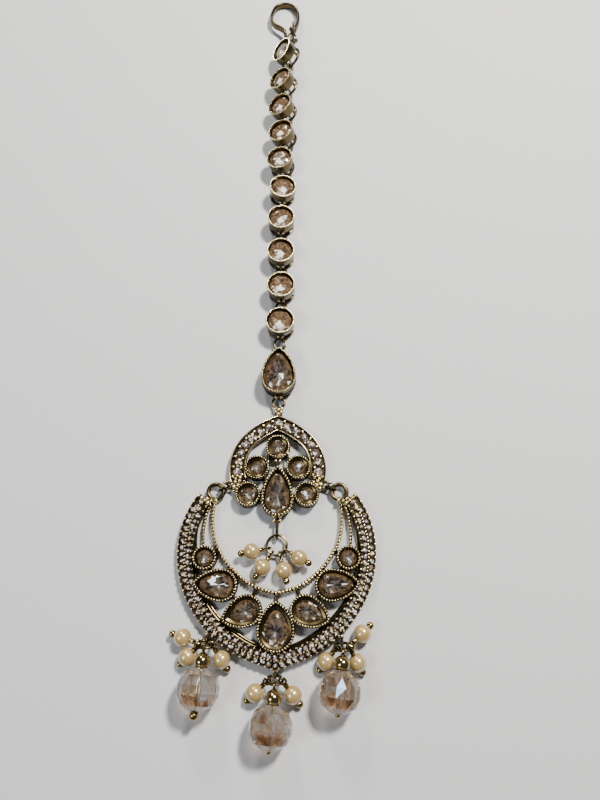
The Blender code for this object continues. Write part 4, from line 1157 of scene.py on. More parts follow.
def patina_group():
    """Worn metal: bright where it is rubbed, dark where it is sheltered, with a faint mottle."""
    tree = bpy.data.node_groups.get("worn_patina")
    if tree:
        return tree
    tree = bpy.data.node_groups.new("worn_patina", "ShaderNodeTree")
    entry, leave = group_sockets(
        tree,
        {
            "Bright": (0.6, 0.5, 0.3, 1),
            "Dark": (0.05, 0.04, 0.02, 1),
            "Reach": 1.2 * MM,
            "Rough": 0.28,
        },
        {"Color": (0, 0, 0, 1), "Roughness": 0.5, "Height": 0.0},
    )
    given = entry.outputs
    link = tree.links.new
    shelter = new_node(tree, "ShaderNodeAmbientOcclusion", samples=6)
    link(given["Reach"], shelter.inputs["Distance"])
    mottle = clouds(tree, 900.0, 4)
    worn = ranged(tree, shelter.outputs["AO"], (0.25, 0.85)).outputs["Result"]
    shade = scaled(tree, mottle, 0.55, -0.27).outputs["Value"]
    mask = summed(tree, worn, shade)
    link(mixed(tree, mask, given["Dark"], given["Bright"]), leave.inputs["Color"])
    rough = scaled(tree, mottle, 0.22)
    link(given["Rough"], rough.inputs[2])
    link(rough.outputs["Value"], leave.inputs["Roughness"])
    link(mottle, leave.inputs["Height"])
    return tree


def facet_group():
    """The painted light of a cut stone: each facet's own share of it, with paler and darker painted patches
    inside.
    """
    tree = bpy.data.node_groups.get("painted_facet_light")
    if tree:
        return tree
    tree = bpy.data.node_groups.new("painted_facet_light", "ShaderNodeTree")
    entry, leave = group_sockets(
        tree,
        {
            "Dark": (0.05, 0.03, 0.02, 1),
            "Body": (0.5, 0.4, 0.3, 1),
            "Edge": (0.3, 0.2, 0.1, 1),
            "Pale": (0.9, 0.85, 0.8, 1),
            "Patch": 700.0,
            "Cast": (1.0, 0.89, 0.54, 1),
            "Vary": 0.0,
        },
        {"Color": (0, 0, 0, 1)},
    )
    given = entry.outputs
    link = tree.links.new
    facet = new_node(tree, "ShaderNodeAttribute", attribute_name=FACET_LIGHT)
    rim = new_node(tree, "ShaderNodeAttribute", attribute_name=FACET_EDGE)
    tone = mixed(tree, rim.outputs["Fac"], given["Body"], given["Edge"])
    place = new_node(tree, "ShaderNodeTexCoord")
    patch = new_node(tree, "ShaderNodeTexVoronoi")
    link(place.outputs["Object"], patch.inputs["Vector"])
    link(given["Patch"], patch.inputs["Scale"])
    split = new_node(tree, "ShaderNodeSeparateColor")
    link(patch.outputs["Color"], split.inputs["Color"])
    inner = scaled(tree, split.outputs[0], PATCH_SHARE, -PATCH_SHARE / 2).outputs["Value"]
    light = summed(tree, facet.outputs["Fac"], inner)
    low = ranged(tree, light, DARK_TO_BODY).outputs["Result"]
    high = ranged(tree, light, BODY_TO_PALE).outputs["Result"]
    lit = mixed(tree, high, mixed(tree, low, given["Dark"], tone), given["Pale"])
    share = ranged(tree, clouds(tree, DRIFT_SCALE), DRIFT_LIMITS)
    link(given["Vary"], share.inputs["To Max"])
    cast = mixed(tree, share.outputs["Result"], lit, given["Cast"], blend_type="MULTIPLY")
    link(cast, leave.inputs["Color"])
    return tree


def new_material(name):
    made = bpy.data.materials.new(name)
    made.use_nodes = True
    return made, made.node_tree, made.node_tree.nodes["Principled BSDF"]


def metal(name, bright, rough, reach=1.2 * MM):
    """A worn, oxidised gold finish, made once: how far a recess keeps its oxide is its reach."""
    if name in bpy.data.materials:
        return bpy.data.materials[name]
    made, tree, shader = new_material(name)
    patina = new_node(tree, "ShaderNodeGroup", (-500, 0), node_tree=patina_group())
    with_inputs(patina, {"Bright": (*bright, 1), "Dark": (*colours().patina, 1)})
    with_inputs(patina, {"Reach": reach, "Rough": rough})
    bump = new_node(tree, "ShaderNodeBump", (-250, -200))
    with_inputs(bump, {"Strength": 0.25, "Distance": 0.05 * MM})
    link = tree.links.new
    link(patina.outputs["Height"], bump.inputs["Height"])
    link(patina.outputs["Color"], shader.inputs["Base Color"])
    link(patina.outputs["Roughness"], shader.inputs["Roughness"])
    link(bump.outputs["Normal"], shader.inputs["Normal"])
    with_inputs(shader, {"Metallic": 1.0})
    return made


def antique_gold():
    """The two finishes of the metal: the oxidised body, and the beads and grains that are worn bright."""
    body = metal("oxidised_gold", colours().bronze, 0.17)
    beads = metal("worn_bright_gold", colours().gold, 0.12, 0.22 * MM)
    return body, beads


def dark_strip():
    """The finish of the hook's flat strip."""
    return (metal("oxidised_strip", (0.085, 0.060, 0.030), 0.20),)


def dark_gold():
    """The finish of the drops' balls and pins."""
    return (metal("polished_dark_gold", (0.40, 0.30, 0.13), 0.05),)


def tinted_facets(name, dark, body, edge, pale, patch, vary=0.0):
    """A new material whose colour is that of its facets, and its shader."""
    made, tree, shader = new_material(name)
    facets = new_node(tree, "ShaderNodeGroup", (-500, 0), node_tree=facet_group())
    with_inputs(facets, {"Dark": (*dark, 1), "Body": (*body, 1), "Edge": (*edge, 1), "Pale": (*pale, 1)})
    with_inputs(facets, {"Patch": patch, "Vary": vary})
    tree.links.new(facets.outputs["Color"], shader.inputs["Base Color"])
    return made, shader


def cut_glass(name, **tones):
    """A foiled cut stone, made once."""
    if name in bpy.data.materials:
        return bpy.data.materials[name]
    made, shader = tinted_facets(name, **tones)
    with_inputs(shader, {"Roughness": 0.12, "Coat Weight": 0.6, "Coat Roughness": 0.03})
    return made


def foiled_champagne():
    """The cups' stones."""
    tones = colours()
    return cut_glass(
        "foiled_champagne",
        dark=tones.stone_dark,
        body=tones.stone_body,
        edge=tones.stone_body,
        pale=tones.stone_pale,
        patch=1700.0,
    )


def foiled_smoke():
    """The pear stones and the round ones beside them, greyer in the middle."""
    return cut_glass(
        "foiled_smoke",
        dark=(0.012, 0.009, 0.007),
        body=(0.092, 0.080, 0.070),
        edge=colours().stone_edge,
        pale=(0.76, 0.84, 0.92),
        patch=1100.0,
        vary=0.4,
    )


def foiled_pale():
    """The small stones of the two bands: some are bluish, some straw."""
    return cut_glass(
        "foiled_pale",
        dark=(0.028, 0.019, 0.020),
        body=(0.220, 0.188, 0.20),
        edge=(0.13, 0.092, 0.088),
        pale=(0.94, 0.96, 1.0),
        patch=2400.0,
        vary=0.9,
    )


def clouded(name, scale, first, second, detail=2):
    """A new material with soft clouds of two colours, and its shader."""
    made, tree, shader = new_material(name)
    tint = new_node(tree, "ShaderNodeMix", (-450, 0), data_type="RGBA")
    with_inputs(tint, {6: (*first, 1), 7: (*second, 1)})
    tree.links.new(clouds(tree, scale, detail), tint.inputs["Factor"])
    tree.links.new(tint.outputs[2], shader.inputs["Base Color"])
    return made, shader


def pearl_cream():
    """Imitation pearl: cream with a soft cloud of warmer tone under a clear coat, made once."""
    if "pearl_cream" in bpy.data.materials:
        return bpy.data.materials["pearl_cream"]
    cream = colours().pearl
    warmer = (cream[0] * 0.86, cream[1] * 0.78, cream[2] * 0.64)
    made, shader = clouded("pearl_cream", 420.0, warmer, cream, detail=3)
    with_inputs(shader, {"Roughness": 0.30, "Metallic": 0.22})
    with_inputs(shader, {"Coat Weight": 1.0, "Coat IOR": 2.1, "Coat Roughness": 0.17})
    return made


def clear_crystal():
    """Champagne crystal: clear glass with painted light tinted facet by facet, made once."""
    if "clear_crystal" in bpy.data.materials:
        return bpy.data.materials["clear_crystal"]
    made, shader = tinted_facets(
        "clear_crystal",
        dark=(0.30, 0.16, 0.07),
        body=colours().crystal,
        edge=(0.86, 0.63, 0.40),
        pale=(0.93, 0.95, 1.0),
        patch=260.0,
    )
    with_inputs(shader, {"Roughness": 0.02, "Transmission Weight": 0.93, "IOR": 1.52})
    with_inputs(shader, {"Coat Weight": 0.5, "Coat Roughness": 0.02})
    return made


def sky_flash():
    """The bluish white of a painted reflection of the sky on a facet, made once."""
    if "sky_flash" in bpy.data.materials:
        return bpy.data.materials["sky_flash"]
    made, shader = clouded("sky_flash", 600.0, (0.20, 0.44, 0.82), (0.78, 0.90, 1.0))
    with_inputs(shader, {"Roughness": 0.15, "Coat Weight": 1.0})
    return made


def floor_finish():
    """A plain pale floor with the faintest unevenness."""
    pale = colours().floor
    made, shader = clouded("pale_floor", 14.0, [0.96 * value for value in pale], pale)
    with_inputs(shader, {"Roughness": 0.85})
    return made


# Groups of like forms


def milled(shape, line, place, pitch, bead):
    """The beads on a bezel's rim, of the usual size unless another is given."""
    work = sizes()
    roped(shape, line, bead or work.mill_bead, pitch or work.mill_pitch, place, closed=True)


def pear_bezel(
    shape,
    place,
    radius,
    point,
    height=SETTING_HEIGHT,
    bottom=0.0,
    pitch=None,
    bead=None,
    collar=COLLAR,
):
    """A pear bezel with its milled rim."""
    poured(bezel_form(radius, height, 72, point, bottom, collar), shape, place)
    milled(shape, pear_line(radius, point, MILL_INSET, height - MILL_SINK), place, pitch, bead)


def round_bezel(shape, place, radius, pitch=None, bead=None, collar=COLLAR):
    """A round bezel with its milled rim."""
    poured(bezel_form(radius, SETTING_HEIGHT, 44, collar=collar), shape, place)
    milled(shape, round_line(radius - MILL_INSET, SETTING_HEIGHT - MILL_SINK), place, pitch, bead)


def stone_inset(collar):
    """How far in from its bezel's outside a stone's edge is."""
    return RIM_THICKNESS + collar - STONE_OVERLAP


def pear_stone_into(shape, place, radius, point, girdle, collar):
    """The cut stone of a pear bezel, with painted light on its side down the picture however the bezel is
    turned.
    """
    inset = stone_inset(collar)
    small = radius - inset
    down = place.to_3x3().transposed() @ Vector((0, -1, 0))
    sharp = point - POINT_INSET_SHARE * inset
    form = stone_form(small, girdle, 0.65 * MM, 0.25 * MM, 18, PEAR_LIGHTS, sharp, lean=0.30, down=down)
    poured(form, shape, place)


def collar_of(name):
    """How wide a pear's collar is: the two upper stones fill their bezels further."""
    return THIN_COLLAR if name.endswith("high") else COLLAR


def eyelet_into(shape, place, standing=True):
    """An eyelet that stands on edge, or lies flat."""
    form = ring_form(EYELET_RADIUS, EYELET_WIRE, steps=20, sides=8)
    poured(form, shape, Matrix.Translation(place) @ (turn("Y", 90) if standing else Matrix.Identity(4)))


def oval_into(shape, centre, long_axis, short_axis, half_length, half_width, wire):
    """A link whose sides run along its long axis."""
    long_axis, short_axis = Vector(long_axis), Vector(short_axis)
    if half_length < half_width:
        long_axis, short_axis = short_axis, long_axis
        half_length, half_width = half_width, half_length
    form = ring_form(half_width, wire, stretch=half_length - half_width, steps=36, sides=10)
    poured(form, shape, frame_of(centre, long_axis, long_axis.cross(short_axis) * -1))


def loop_with_wraps(shape, place, reach, bare_from):
    """The loop at the top of a pin, and the turns of wire that close it below."""
    poured(
        ring_form(EYELET_RADIUS, LOOP_WIRE, steps=20, sides=8),
        shape,
        place @ shift(0, reach, 0) @ turn("Y", 90),
    )
    top = reach - EYELET_RADIUS
    poured(post_form((0, bare_from, 0), (0, top + LOOP_WIRE, 0), LOOP_WIRE), shape, place)
    turns = max(int((top - bare_from) / (WRAP_PITCH * LOOP_WIRE)), 1)
    for step in range(turns):
        height = bare_from + LOOP_WIRE + step * (top - bare_from - LOOP_WIRE) / turns
        wrap = ring_form(WRAP_RADIUS * LOOP_WIRE, WRAP_WIRE * LOOP_WIRE, steps=14, sides=6)
        poured(wrap, shape, place @ shift(0, height, 0) @ turn("X", 84))


class TIKKA_OT_crescent(bpy.types.Operator):
    """Makes the crescent's metal: band, ledge, beaded edges, bezels, horn rings and lugs"""

    bl_idname = "tikka.crescent"
    bl_label = "Crescent"

    def execute(self, context):
        work = sizes()
        shape = bmesh.new()
        width = CRESCENT["width"]
        half = (
            (0.0, 0.0),
            (0.0, BAND_HEIGHT - 0.22 * MM),
            (0.10 * MM, BAND_HEIGHT - 0.05 * MM),
            (0.24 * MM, BAND_HEIGHT - 0.05 * MM),
            (0.32 * MM, BAND_HEIGHT - 0.48 * MM),
        )
        ledge = (
            (width + 0.02 * MM, 0.95 * MM),
            (width + 0.22 * MM, 0.95 * MM),
            (width + 0.28 * MM, 0.82 * MM),
            (width + 0.48 * MM, 0.82 * MM),
            (width + 0.54 * MM, 0.95 * MM),
            (width + 0.74 * MM, 0.95 * MM),
            (width + 0.82 * MM, 0.84 * MM),
            (width + 0.82 * MM, 0.0),
        )
        poured(band_form(CRESCENT, half + mirrored(half[1:], width) + ledge), shape)
        self.edges(shape, work)
        for row in crescent_pears():
            pear_bezel(shape, pear_frame(row), *pear_size(row), collar=collar_of(row["name"]))
        rounds = seats_of(CRESCENT_ROUNDS, CRESCENT)
        for seat in rounds:
            round_bezel(shape, Matrix.Translation(seat), ROUND_RADIUS, collar=THIN_COLLAR)
        self.horns(shape)
        self.stems(shape, rounds)
        self.lugs(shape)
        finished("crescent_metal", shape, antique_gold(), ["crescent"])
        return {"FINISHED"}

    def edges(self, shape, work):
        """The rope along the inner edge and the strands from the horns to the round settings."""
        poured(swept_form(inner_wire_line(0.62 * MM), 0.24 * MM, tall=0.36 * MM), shape)
        roped(shape, inner_wire_line(1.10 * MM), work.rope_bead, ROPE_PITCH, slant=36, thin=0.44)
        roped(shape, inner_wire_line(0.40 * MM), 0.65 * work.rope_bead, ROPE_PITCH)
        for share in RAIL_SHARES:
            poured(swept_form(band_line(CRESCENT, share, 0.95 * MM, RAIL_END), 0.11 * MM), shape)
        for side in (-1, 1):
            strand = [mm(side * x, y, 0.95) for x, y in OUTER_STRAND]
            poured(swept_form(strand, 0.30 * MM, soft=True), shape)
            raised = [point + mm(0, 0, 0.28) for point in strand]
            roped(shape, raised, 0.42 * MM, ROPE_PITCH, slant=side * -34, thin=0.50)

    def horns(self, shape):
        """The rings on the crescent's tips, with the solder and grains that hold them."""
        for side in (-1, 1):
            _, tip = side_places(side)
            ring = ring_form(TIP_RING_RADIUS, TIP_RING_WIRE, steps=36, sides=12)
            poured(ring, shape, Matrix.Translation(tip))
            outer, inner = band_reach(CRESCENT, TIP_SOLDER_ANGLE)
            solder = band_place(CRESCENT, side * TIP_SOLDER_ANGLE, (outer + inner) / 2, tip.z)
            start = tip + (solder - tip).normalized() * TIP_RING_RADIUS
            poured(post_form(start, solder, 0.62 * MM), shape)
            row_height = BAND_HEIGHT - 0.1 * MM
            end_row = [
                band_place(CRESCENT, side * TIP_ROW_ANGLE, outer + (inner - outer) * share, row_height)
                for share in TIP_ROW_SHARES
            ]
            grained(shape, end_row, 0.45 * MM)
            wire_end = inner_wire_line(1.1 * MM)[-1 if side > 0 else 0]
            ring_side = tip + (wire_end - tip).normalized() * TIP_RING_RADIUS
            poured(post_form(wire_end, ring_side, 0.4 * MM), shape)
            beads = (mm(side * -0.2, -2.0, 0.8), mm(side * 0.75, -1.95, 0.8), mm(side * 1.6, -1.6, 0.8))
            grained(shape, [tip + bead for bead in beads], 0.42 * MM)

    def stems(self, shape, rounds):
        """The soldered stems between the settings, the rope and the band."""
        wire_line = inner_wire_line(STEM)
        seats = [pear_frame(row).translation for row in crescent_pears()]
        centre, low_left, low_right, high_left, high_right = seats
        left = (centre, low_left, high_left, rounds[0])
        right = (centre, low_right, high_right, rounds[1])
        for chain in (left, right):
            for start, end in zip(chain, chain[1:]):
                poured(post_form(start + STEM_LIFT, end + STEM_LIFT, STEM), shape)
            for seat in chain[1:]:
                nearest = min(wire_line, key=lambda point: (point - seat).length)
                poured(post_form(seat + STEM_LIFT, nearest, STEM), shape)
            side = math.copysign(1, chain[-1].x)
            _, inner = band_reach(CRESCENT, 90)
            rim = band_place(CRESCENT, side * 90, inner, STEM)
            poured(post_form(chain[-1] + STEM_LIFT, rim, STEM), shape)
        lowest = min(wire_line, key=lambda point: point.y)
        poured(post_form(centre + STEM_LIFT, lowest, STEM), shape)

    def lugs(self, shape):
        """The eyelets below the crescent, each on its short lug."""
        for cluster in CLUSTERS:
            eyelet = rim_eyelet(cluster)
            eyelet_into(shape, eyelet)
            outer, _ = band_reach(CRESCENT, cluster["rim_angle"])
            root = band_place(CRESCENT, cluster["rim_angle"], outer - 0.5 * MM, EYELET_HEIGHT)
            end = eyelet + Vector((0, EYELET_RADIUS, 0))
            poured(post_form(root, end, 0.38 * MM), shape)
            grained(shape, [root.lerp(end, 0.6) + mm(0, 0, 0.1)], 0.5 * MM)


class TIKKA_OT_rim_stones(bpy.types.Operator):
    """Sets the small stones and grains on the crescent's band and the plate's band"""

    bl_idname = "tikka.rim_stones"
    bl_label = "Rim stones"

    def execute(self, context):
        work = sizes()
        stones = bmesh.new()
        grains = bmesh.new()
        height = BAND_HEIGHT - 0.24 * MM
        pitch = 2.5 * work.rim_stone
        outer_row = spaced(band_line(CRESCENT, 0.29, height, RIM_STONES_END), pitch)
        inner_row = spaced(band_line(CRESCENT, 0.71, height, RIM_STONES_END), pitch * 0.93, offset=0.5)
        repeated(small_stone_form(work.rim_stone, 8), stones, seated(outer_row + inner_row))
        grain_height = BAND_HEIGHT - 0.06 * MM
        grain_rows = (
            (0.06, pitch, 0.5),
            (0.94, pitch * 0.90, 0.0),
            (0.50, pitch * 0.5, 0.25),
        )
        for share, step, offset in grain_rows:
            line = band_line(CRESCENT, share, grain_height, RIM_STONES_END + 6)
            beaded(grains, spaced(line, step, offset=offset), work.grain)
        for side in (-1, 1):
            tip = spaced(band_line(CRESCENT, 0.5, height, side * 125.5, side * 121.5), 1.45 * MM)
            repeated(small_stone_form(0.70 * MM, 8), stones, seated(tip))
        self.plate(stones, grains, work)
        scattered(stones, **RIM_CHANCE)
        finished("rim_stones", stones, [foiled_pale()], [], cut=True)
        finished("rim_grains", grains, antique_gold(), [])
        return {"FINISHED"}

    def plate(self, stones, grains, work):
        """One row of larger stones round the arch, with pairs of grains between them."""
        height = BAND_HEIGHT - 0.25 * MM
        row = spaced(band_line(ARCH, 0.5, height, PLATE_STONES_END), PLATE_STONE_PITCH)
        repeated(small_stone_form(work.plate_stone, 10), stones, seated(row))
        for share in (0.24, 0.76):
            line = band_line(ARCH, share, BAND_HEIGHT - 0.08 * MM, PLATE_STONES_END)
            middles = [before.lerp(after, 0.5) for before, after in zip(row, row[1:])]
            nearest = [min(line, key=lambda point: (point - middle).length) for middle in middles]
            beaded(grains, nearest, 0.34 * MM)
        for side in (-1, 1):
            for degrees, shares in ((102, (0.2, 0.5, 0.8)), (105.5, (0.35, 0.65))):
                outer, inner = band_reach(ARCH, degrees)
                reaches = [outer + (inner - outer) * share for share in shares]
                low = BAND_HEIGHT - 0.18 * MM
                end = [band_place(ARCH, side * degrees, reach, low) for reach in reaches]
                grained(grains, end, 0.40 * MM)


class TIKKA_OT_plate(bpy.types.Operator):
    """Makes the arched plate's metal: band, bezels, corner grains, bail and top eyelet"""

    bl_idname = "tikka.plate"
    bl_label = "Arched plate"

    def execute(self, context):
        shape = bmesh.new()
        half = (
            (0.0, 0.0),
            (0.0, BAND_HEIGHT - 0.12 * MM),
            (0.08 * MM, BAND_HEIGHT),
            (0.22 * MM, BAND_HEIGHT),
            (0.34 * MM, BAND_HEIGHT - 0.42 * MM),
        )
        poured(band_form(ARCH, half + mirrored(half, ARCH["width"])), shape)
        for share in PLATE_WIRE_SHARES:
            poured(brightened(swept_form(band_line(ARCH, share, BAND_HEIGHT), 0.13 * MM)), shape)
        rounds = seats_of(ARCH_ROUNDS, ARCH)
        for seat in rounds:
            round_bezel(shape, Matrix.Translation(seat), PLATE_ROUND_RADIUS, 0.52 * MM, 0.30 * MM)
        pear = Vector((0, ARCH_PEAR_Y, 0))
        place = Matrix.Translation(pear)
        pear_bezel(
            shape,
            place,
            ARCH_PEAR_RADIUS,
            ARCH_PEAR_POINT,
            pitch=0.64 * MM,
            bead=0.37 * MM,
            collar=THIN_COLLAR,
        )
        self.joints(shape, rounds, pear)
        self.corners(shape)
        self.ends(shape)
        finished("plate_metal", shape, antique_gold(), ["arch_plate"])
        return {"FINISHED"}

    def joints(self, shape, rounds, pear):
        """The stems between the settings, and the little crown of wire on the pear's point."""
        top, upper_left, upper_right, lower_left, lower_right = rounds
        _, inner = band_reach(ARCH, 0)
        poured(post_form(top + STEM_LIFT, band_place(ARCH, 0, inner, STEM), STEM), shape)
        for upper, lower in ((upper_left, lower_left), (upper_right, lower_right)):
            side = math.copysign(1, upper.x)
            _, inner = band_reach(ARCH, 90)
            rim = Vector((side * inner, upper.y, 0))
            for start, end in ((top, upper), (upper, pear), (lower, pear), (upper, rim)):
                poured(post_form(start + STEM_LIFT, end + STEM_LIFT, STEM), shape)
            middle = Vector((0, ARCH["centre"], 0))
            post_top = middle + mm(side * 2.05, 2.9, 2.1)
            post_low = middle + mm(side * 2.10, 1.1, 2.1)
            poured(post_form(post_top, post_low, 0.26 * MM), shape)
            arm = middle + mm(side * 0.45, 1.25, 2.4)
            foot = middle + mm(0, 0.35, 2.4)
            poured(post_form(arm, foot, 0.22 * MM), shape)
            beaded(shape, [arm, post_top, post_low], 0.34 * MM)

    def corners(self, shape):
        """The grains piled on the plate's lower corners, and the eyelets beside them."""
        for side in (-1, 1):
            corner, _ = side_places(side)
            inset = CORNER_BOSS + EYELET_RADIUS - EYELET_WIRE
            middle = Vector((corner.x - side * inset, corner.y, 0))
            dome = (
                (0, 1.75 * MM),
                (0.9 * MM, 1.7 * MM),
                (1.35 * MM, 1.3 * MM),
                (CORNER_BOSS, 0),
                (0, 0),
            )
            poured(smoothed(turned(dome, 24)), shape, Matrix.Translation(middle))
            eyelet_into(shape, corner, standing=False)
            beads = [middle + mm(0, 0, 1.8)]
            beads += six_round(middle, 0.95 * MM, 1.6 * MM, 15)
            grained(shape, beads, 0.50 * MM)
            grained(shape, six_round(middle, 1.45 * MM, 0.95 * MM, 45), 0.38 * MM)
            lug = [corner + mm(side * 0.95, 0.55, 0.7), corner + mm(0, 0.95, 0.5)]
            grained(shape, lug, 0.42 * MM)

    def ends(self, shape):
        """The grains and eyelets at the plate's top, and at the bail below its pear."""
        tip = Vector((0, TIP_BOSS_Y, 0))
        poured(post_form(tip, tip + mm(0, 0, 1.6), TIP_BOSS, sides=20), shape)
        beads = [tip + mm(0, 0.9, 1.5), tip + mm(0, -0.2, 1.75)]
        beads += pair_at(tip, 0.62, 0.38, 1.55)
        beads += pair_at(tip, 0.72, 1.25, 1.2)
        grained(shape, beads, 0.46 * MM)
        eyelet_into(shape, (0, PLATE_EYELET_Y, EYELET_HEIGHT))
        eyelet_into(shape, BAIL, standing=False)
        below = pair_at(BAIL, 0.55, 0.45, 0.75)
        below += pair_at(BAIL, 0.62, -0.35, 0.6)
        grained(shape, below, 0.42 * MM)


class TIKKA_OT_large_stones(bpy.types.Operator):
    """Sets the cut stones of the crescent, the plate, the pear drop and the cups"""

    bl_idname = "tikka.large_stones"
    bl_label = "Large stones"

    def execute(self, context):
        girdle = SETTING_HEIGHT - STONE_SINK
        shape = bmesh.new()
        nodes = []
        for row in crescent_pears():
            pear_stone_into(shape, pear_frame(row), *pear_size(row), girdle, collar_of(row["name"]))
            nodes.append(f"crescent_stone_{row['name']}")
        for radius, collar, seats in (
            (ROUND_RADIUS, THIN_COLLAR, seats_of(CRESCENT_ROUNDS, CRESCENT)),
            (PLATE_ROUND_RADIUS, COLLAR, seats_of(ARCH_ROUNDS, ARCH)),
        ):
            small = radius - stone_inset(collar)
            stone = stone_form(small, girdle, 0.55 * MM, 0.25 * MM, 16, ROUND_LIGHTS, lean=0.30)
            repeated(stone, shape, seated(seats))
        pear = Matrix.Translation((0, ARCH_PEAR_Y, 0))
        pear_stone_into(shape, pear, ARCH_PEAR_RADIUS, ARCH_PEAR_POINT, girdle, THIN_COLLAR)
        nodes.append("arch_pear_stone")
        drop = shift(0, DROP_CENTRE_Y, 0)
        drop_girdle = BODY_BOTTOM + DROP_HEIGHT - STONE_SINK
        pear_stone_into(shape, drop, DROP_RADIUS, DROP_POINT, drop_girdle, DROP_COLLAR)
        nodes.append("pear_drop_stone")
        scattered(shape, **LARGE_CHANCE)
        # Painted glints on the facets that would catch the lamp
        with_painted_glints(shape, PAINTED_GLINT_PLACES)
        finished("large_stones", shape, [foiled_smoke()], nodes, cut=True)
        cup_stones = bmesh.new()
        cup_girdle = BODY_BOTTOM + CUP_HEIGHT - 0.78 * MM - EYELET_HEIGHT
        stone = stone_form(
            CUP_STONE_RADIUS,
            cup_girdle,
            0.66 * MM,
            0.3 * MM,
            22,
            CUP_LIGHTS,
            fan=0.56,
            lean=0.80,
        )
        repeated(stone, cup_stones, cup_frames())
        scattered(cup_stones, **CUP_CHANCE)
        finished("cup_stones", cup_stones, [foiled_champagne()], [], cut=True)
        return {"FINISHED"}


class TIKKA_OT_pear_drop(bpy.types.Operator):
    """Makes the pear setting between chain and plate, with its back ring and eyelets"""

    bl_idname = "tikka.pear_drop"
    bl_label = "Pear drop"

    def execute(self, context):
        shape = bmesh.new()
        place = shift(0, DROP_CENTRE_Y, 0)
        rim = BODY_BOTTOM + DROP_HEIGHT
        pear_bezel(
            shape,
            place,
            DROP_RADIUS,
            DROP_POINT,
            height=rim,
            bottom=BODY_BOTTOM,
            pitch=0.36 * MM,
            bead=0.27 * MM,
            collar=DROP_COLLAR,
        )
        back = [
            (DROP_RADIUS - 0.2 * MM, 2 * BACK_RING_WIRE - 0.1 * MM),
            (DROP_RADIUS - 0.3 * MM, 2 * BACK_RING_WIRE),
            (DROP_RADIUS - 0.75 * MM, 2 * BACK_RING_WIRE),
            (DROP_RADIUS - 0.85 * MM, 2 * BACK_RING_WIRE - 0.1 * MM),
            (DROP_RADIUS - 0.85 * MM, 0),
            (DROP_RADIUS - 0.2 * MM, 0),
            (DROP_RADIUS - 0.2 * MM, 2 * BACK_RING_WIRE - 0.1 * MM),
        ]
        ring = drawn_to_point(turned(back, 60), DROP_RADIUS, DROP_POINT)
        poured(smoothed(ring), shape, place)
        reach = DROP_RADIUS - 0.6 * MM
        for x, y in ((-reach, 0), (reach, 0), (0, DROP_POINT - 0.9 * MM), (0, -reach)):
            poured(post_form((x, y, 0.2 * MM), (x, y, BODY_BOTTOM + 0.3 * MM), BACK_POST), shape, place)
        for y in (DROP_HIGH_EYELET_Y, DROP_LOW_EYELET_Y):
            eyelet_into(shape, (0, y, EYELET_HEIGHT))
        low_eyelet = (0, DROP_LOW_EYELET_Y, EYELET_HEIGHT)
        grained(shape, pair_at(low_eyelet, 0.5, -0.25, 0.75), 0.36 * MM)
        finished("pear_drop_metal", shape, antique_gold(), ["pear_drop"])
        return {"FINISHED"}


class TIKKA_OT_cups(bpy.types.Operator):
    """Makes the chain's round cups, each on its back ring"""

    bl_idname = "tikka.cups"
    bl_label = "Chain cups"

    def execute(self, context):
        cup = bmesh.new()
        rim = BODY_BOTTOM + CUP_HEIGHT
        wall = CUP_RADIUS
        profile = (
            (0, rim - 1.1 * MM),
            (wall - 0.55 * MM, rim - 1.1 * MM),
            (wall - 0.42 * MM, rim - 0.35 * MM),
            (wall - 0.32 * MM, rim - 0.02 * MM),
            (wall - 0.10 * MM, rim),
            (wall, rim - 0.10 * MM),
            (wall - 0.02 * MM, rim - 0.38 * MM),
            (wall - 0.14 * MM, rim - 0.50 * MM),
            (wall - 0.14 * MM, BODY_BOTTOM + 0.35 * MM),
            (wall - 0.30 * MM, BODY_BOTTOM + 0.05 * MM),
            (wall - 0.50 * MM, BODY_BOTTOM),
            (0, BODY_BOTTOM),
        )
        poured(smoothed(turned(profile, 48)), cup)
        milling = spaced(round_line(wall - 0.17 * MM, rim - 0.03 * MM), 0.26 * MM, closed=True)
        beaded(cup, milling, 0.17 * MM)
        poured(ring_form(BACK_RING_RADIUS, BACK_RING_WIRE, steps=40), cup, shift(0, 0, BACK_RING_WIRE))
        for degrees in (20, 160, 200, 340):
            foot = heading_of(degrees) * (BACK_RING_RADIUS - 0.05 * MM)
            top = foot + Vector((0, 0, BODY_BOTTOM + 0.2 * MM))
            poured(post_form(foot + Vector((0, 0, 0.3 * MM)), top, BACK_POST), cup)
        for side in (-1, 1):
            eyelet = (0, side * CUP_EYELET, EYELET_HEIGHT)
            eyelet_into(cup, eyelet)
            grained(cup, pair_at(eyelet, 0.45, side * -0.1, 0.8), 0.32 * MM)
        shape = bmesh.new()
        drop = shift(0, 0, -EYELET_HEIGHT)
        repeated(cup, shape, [place @ drop for place in cup_frames()])
        nodes = [f"chain_cup_{index + 1:02d}" for index in range(CUP_COUNT)]
        finished("chain_cup_metal", shape, antique_gold(), nodes)
        return {"FINISHED"}


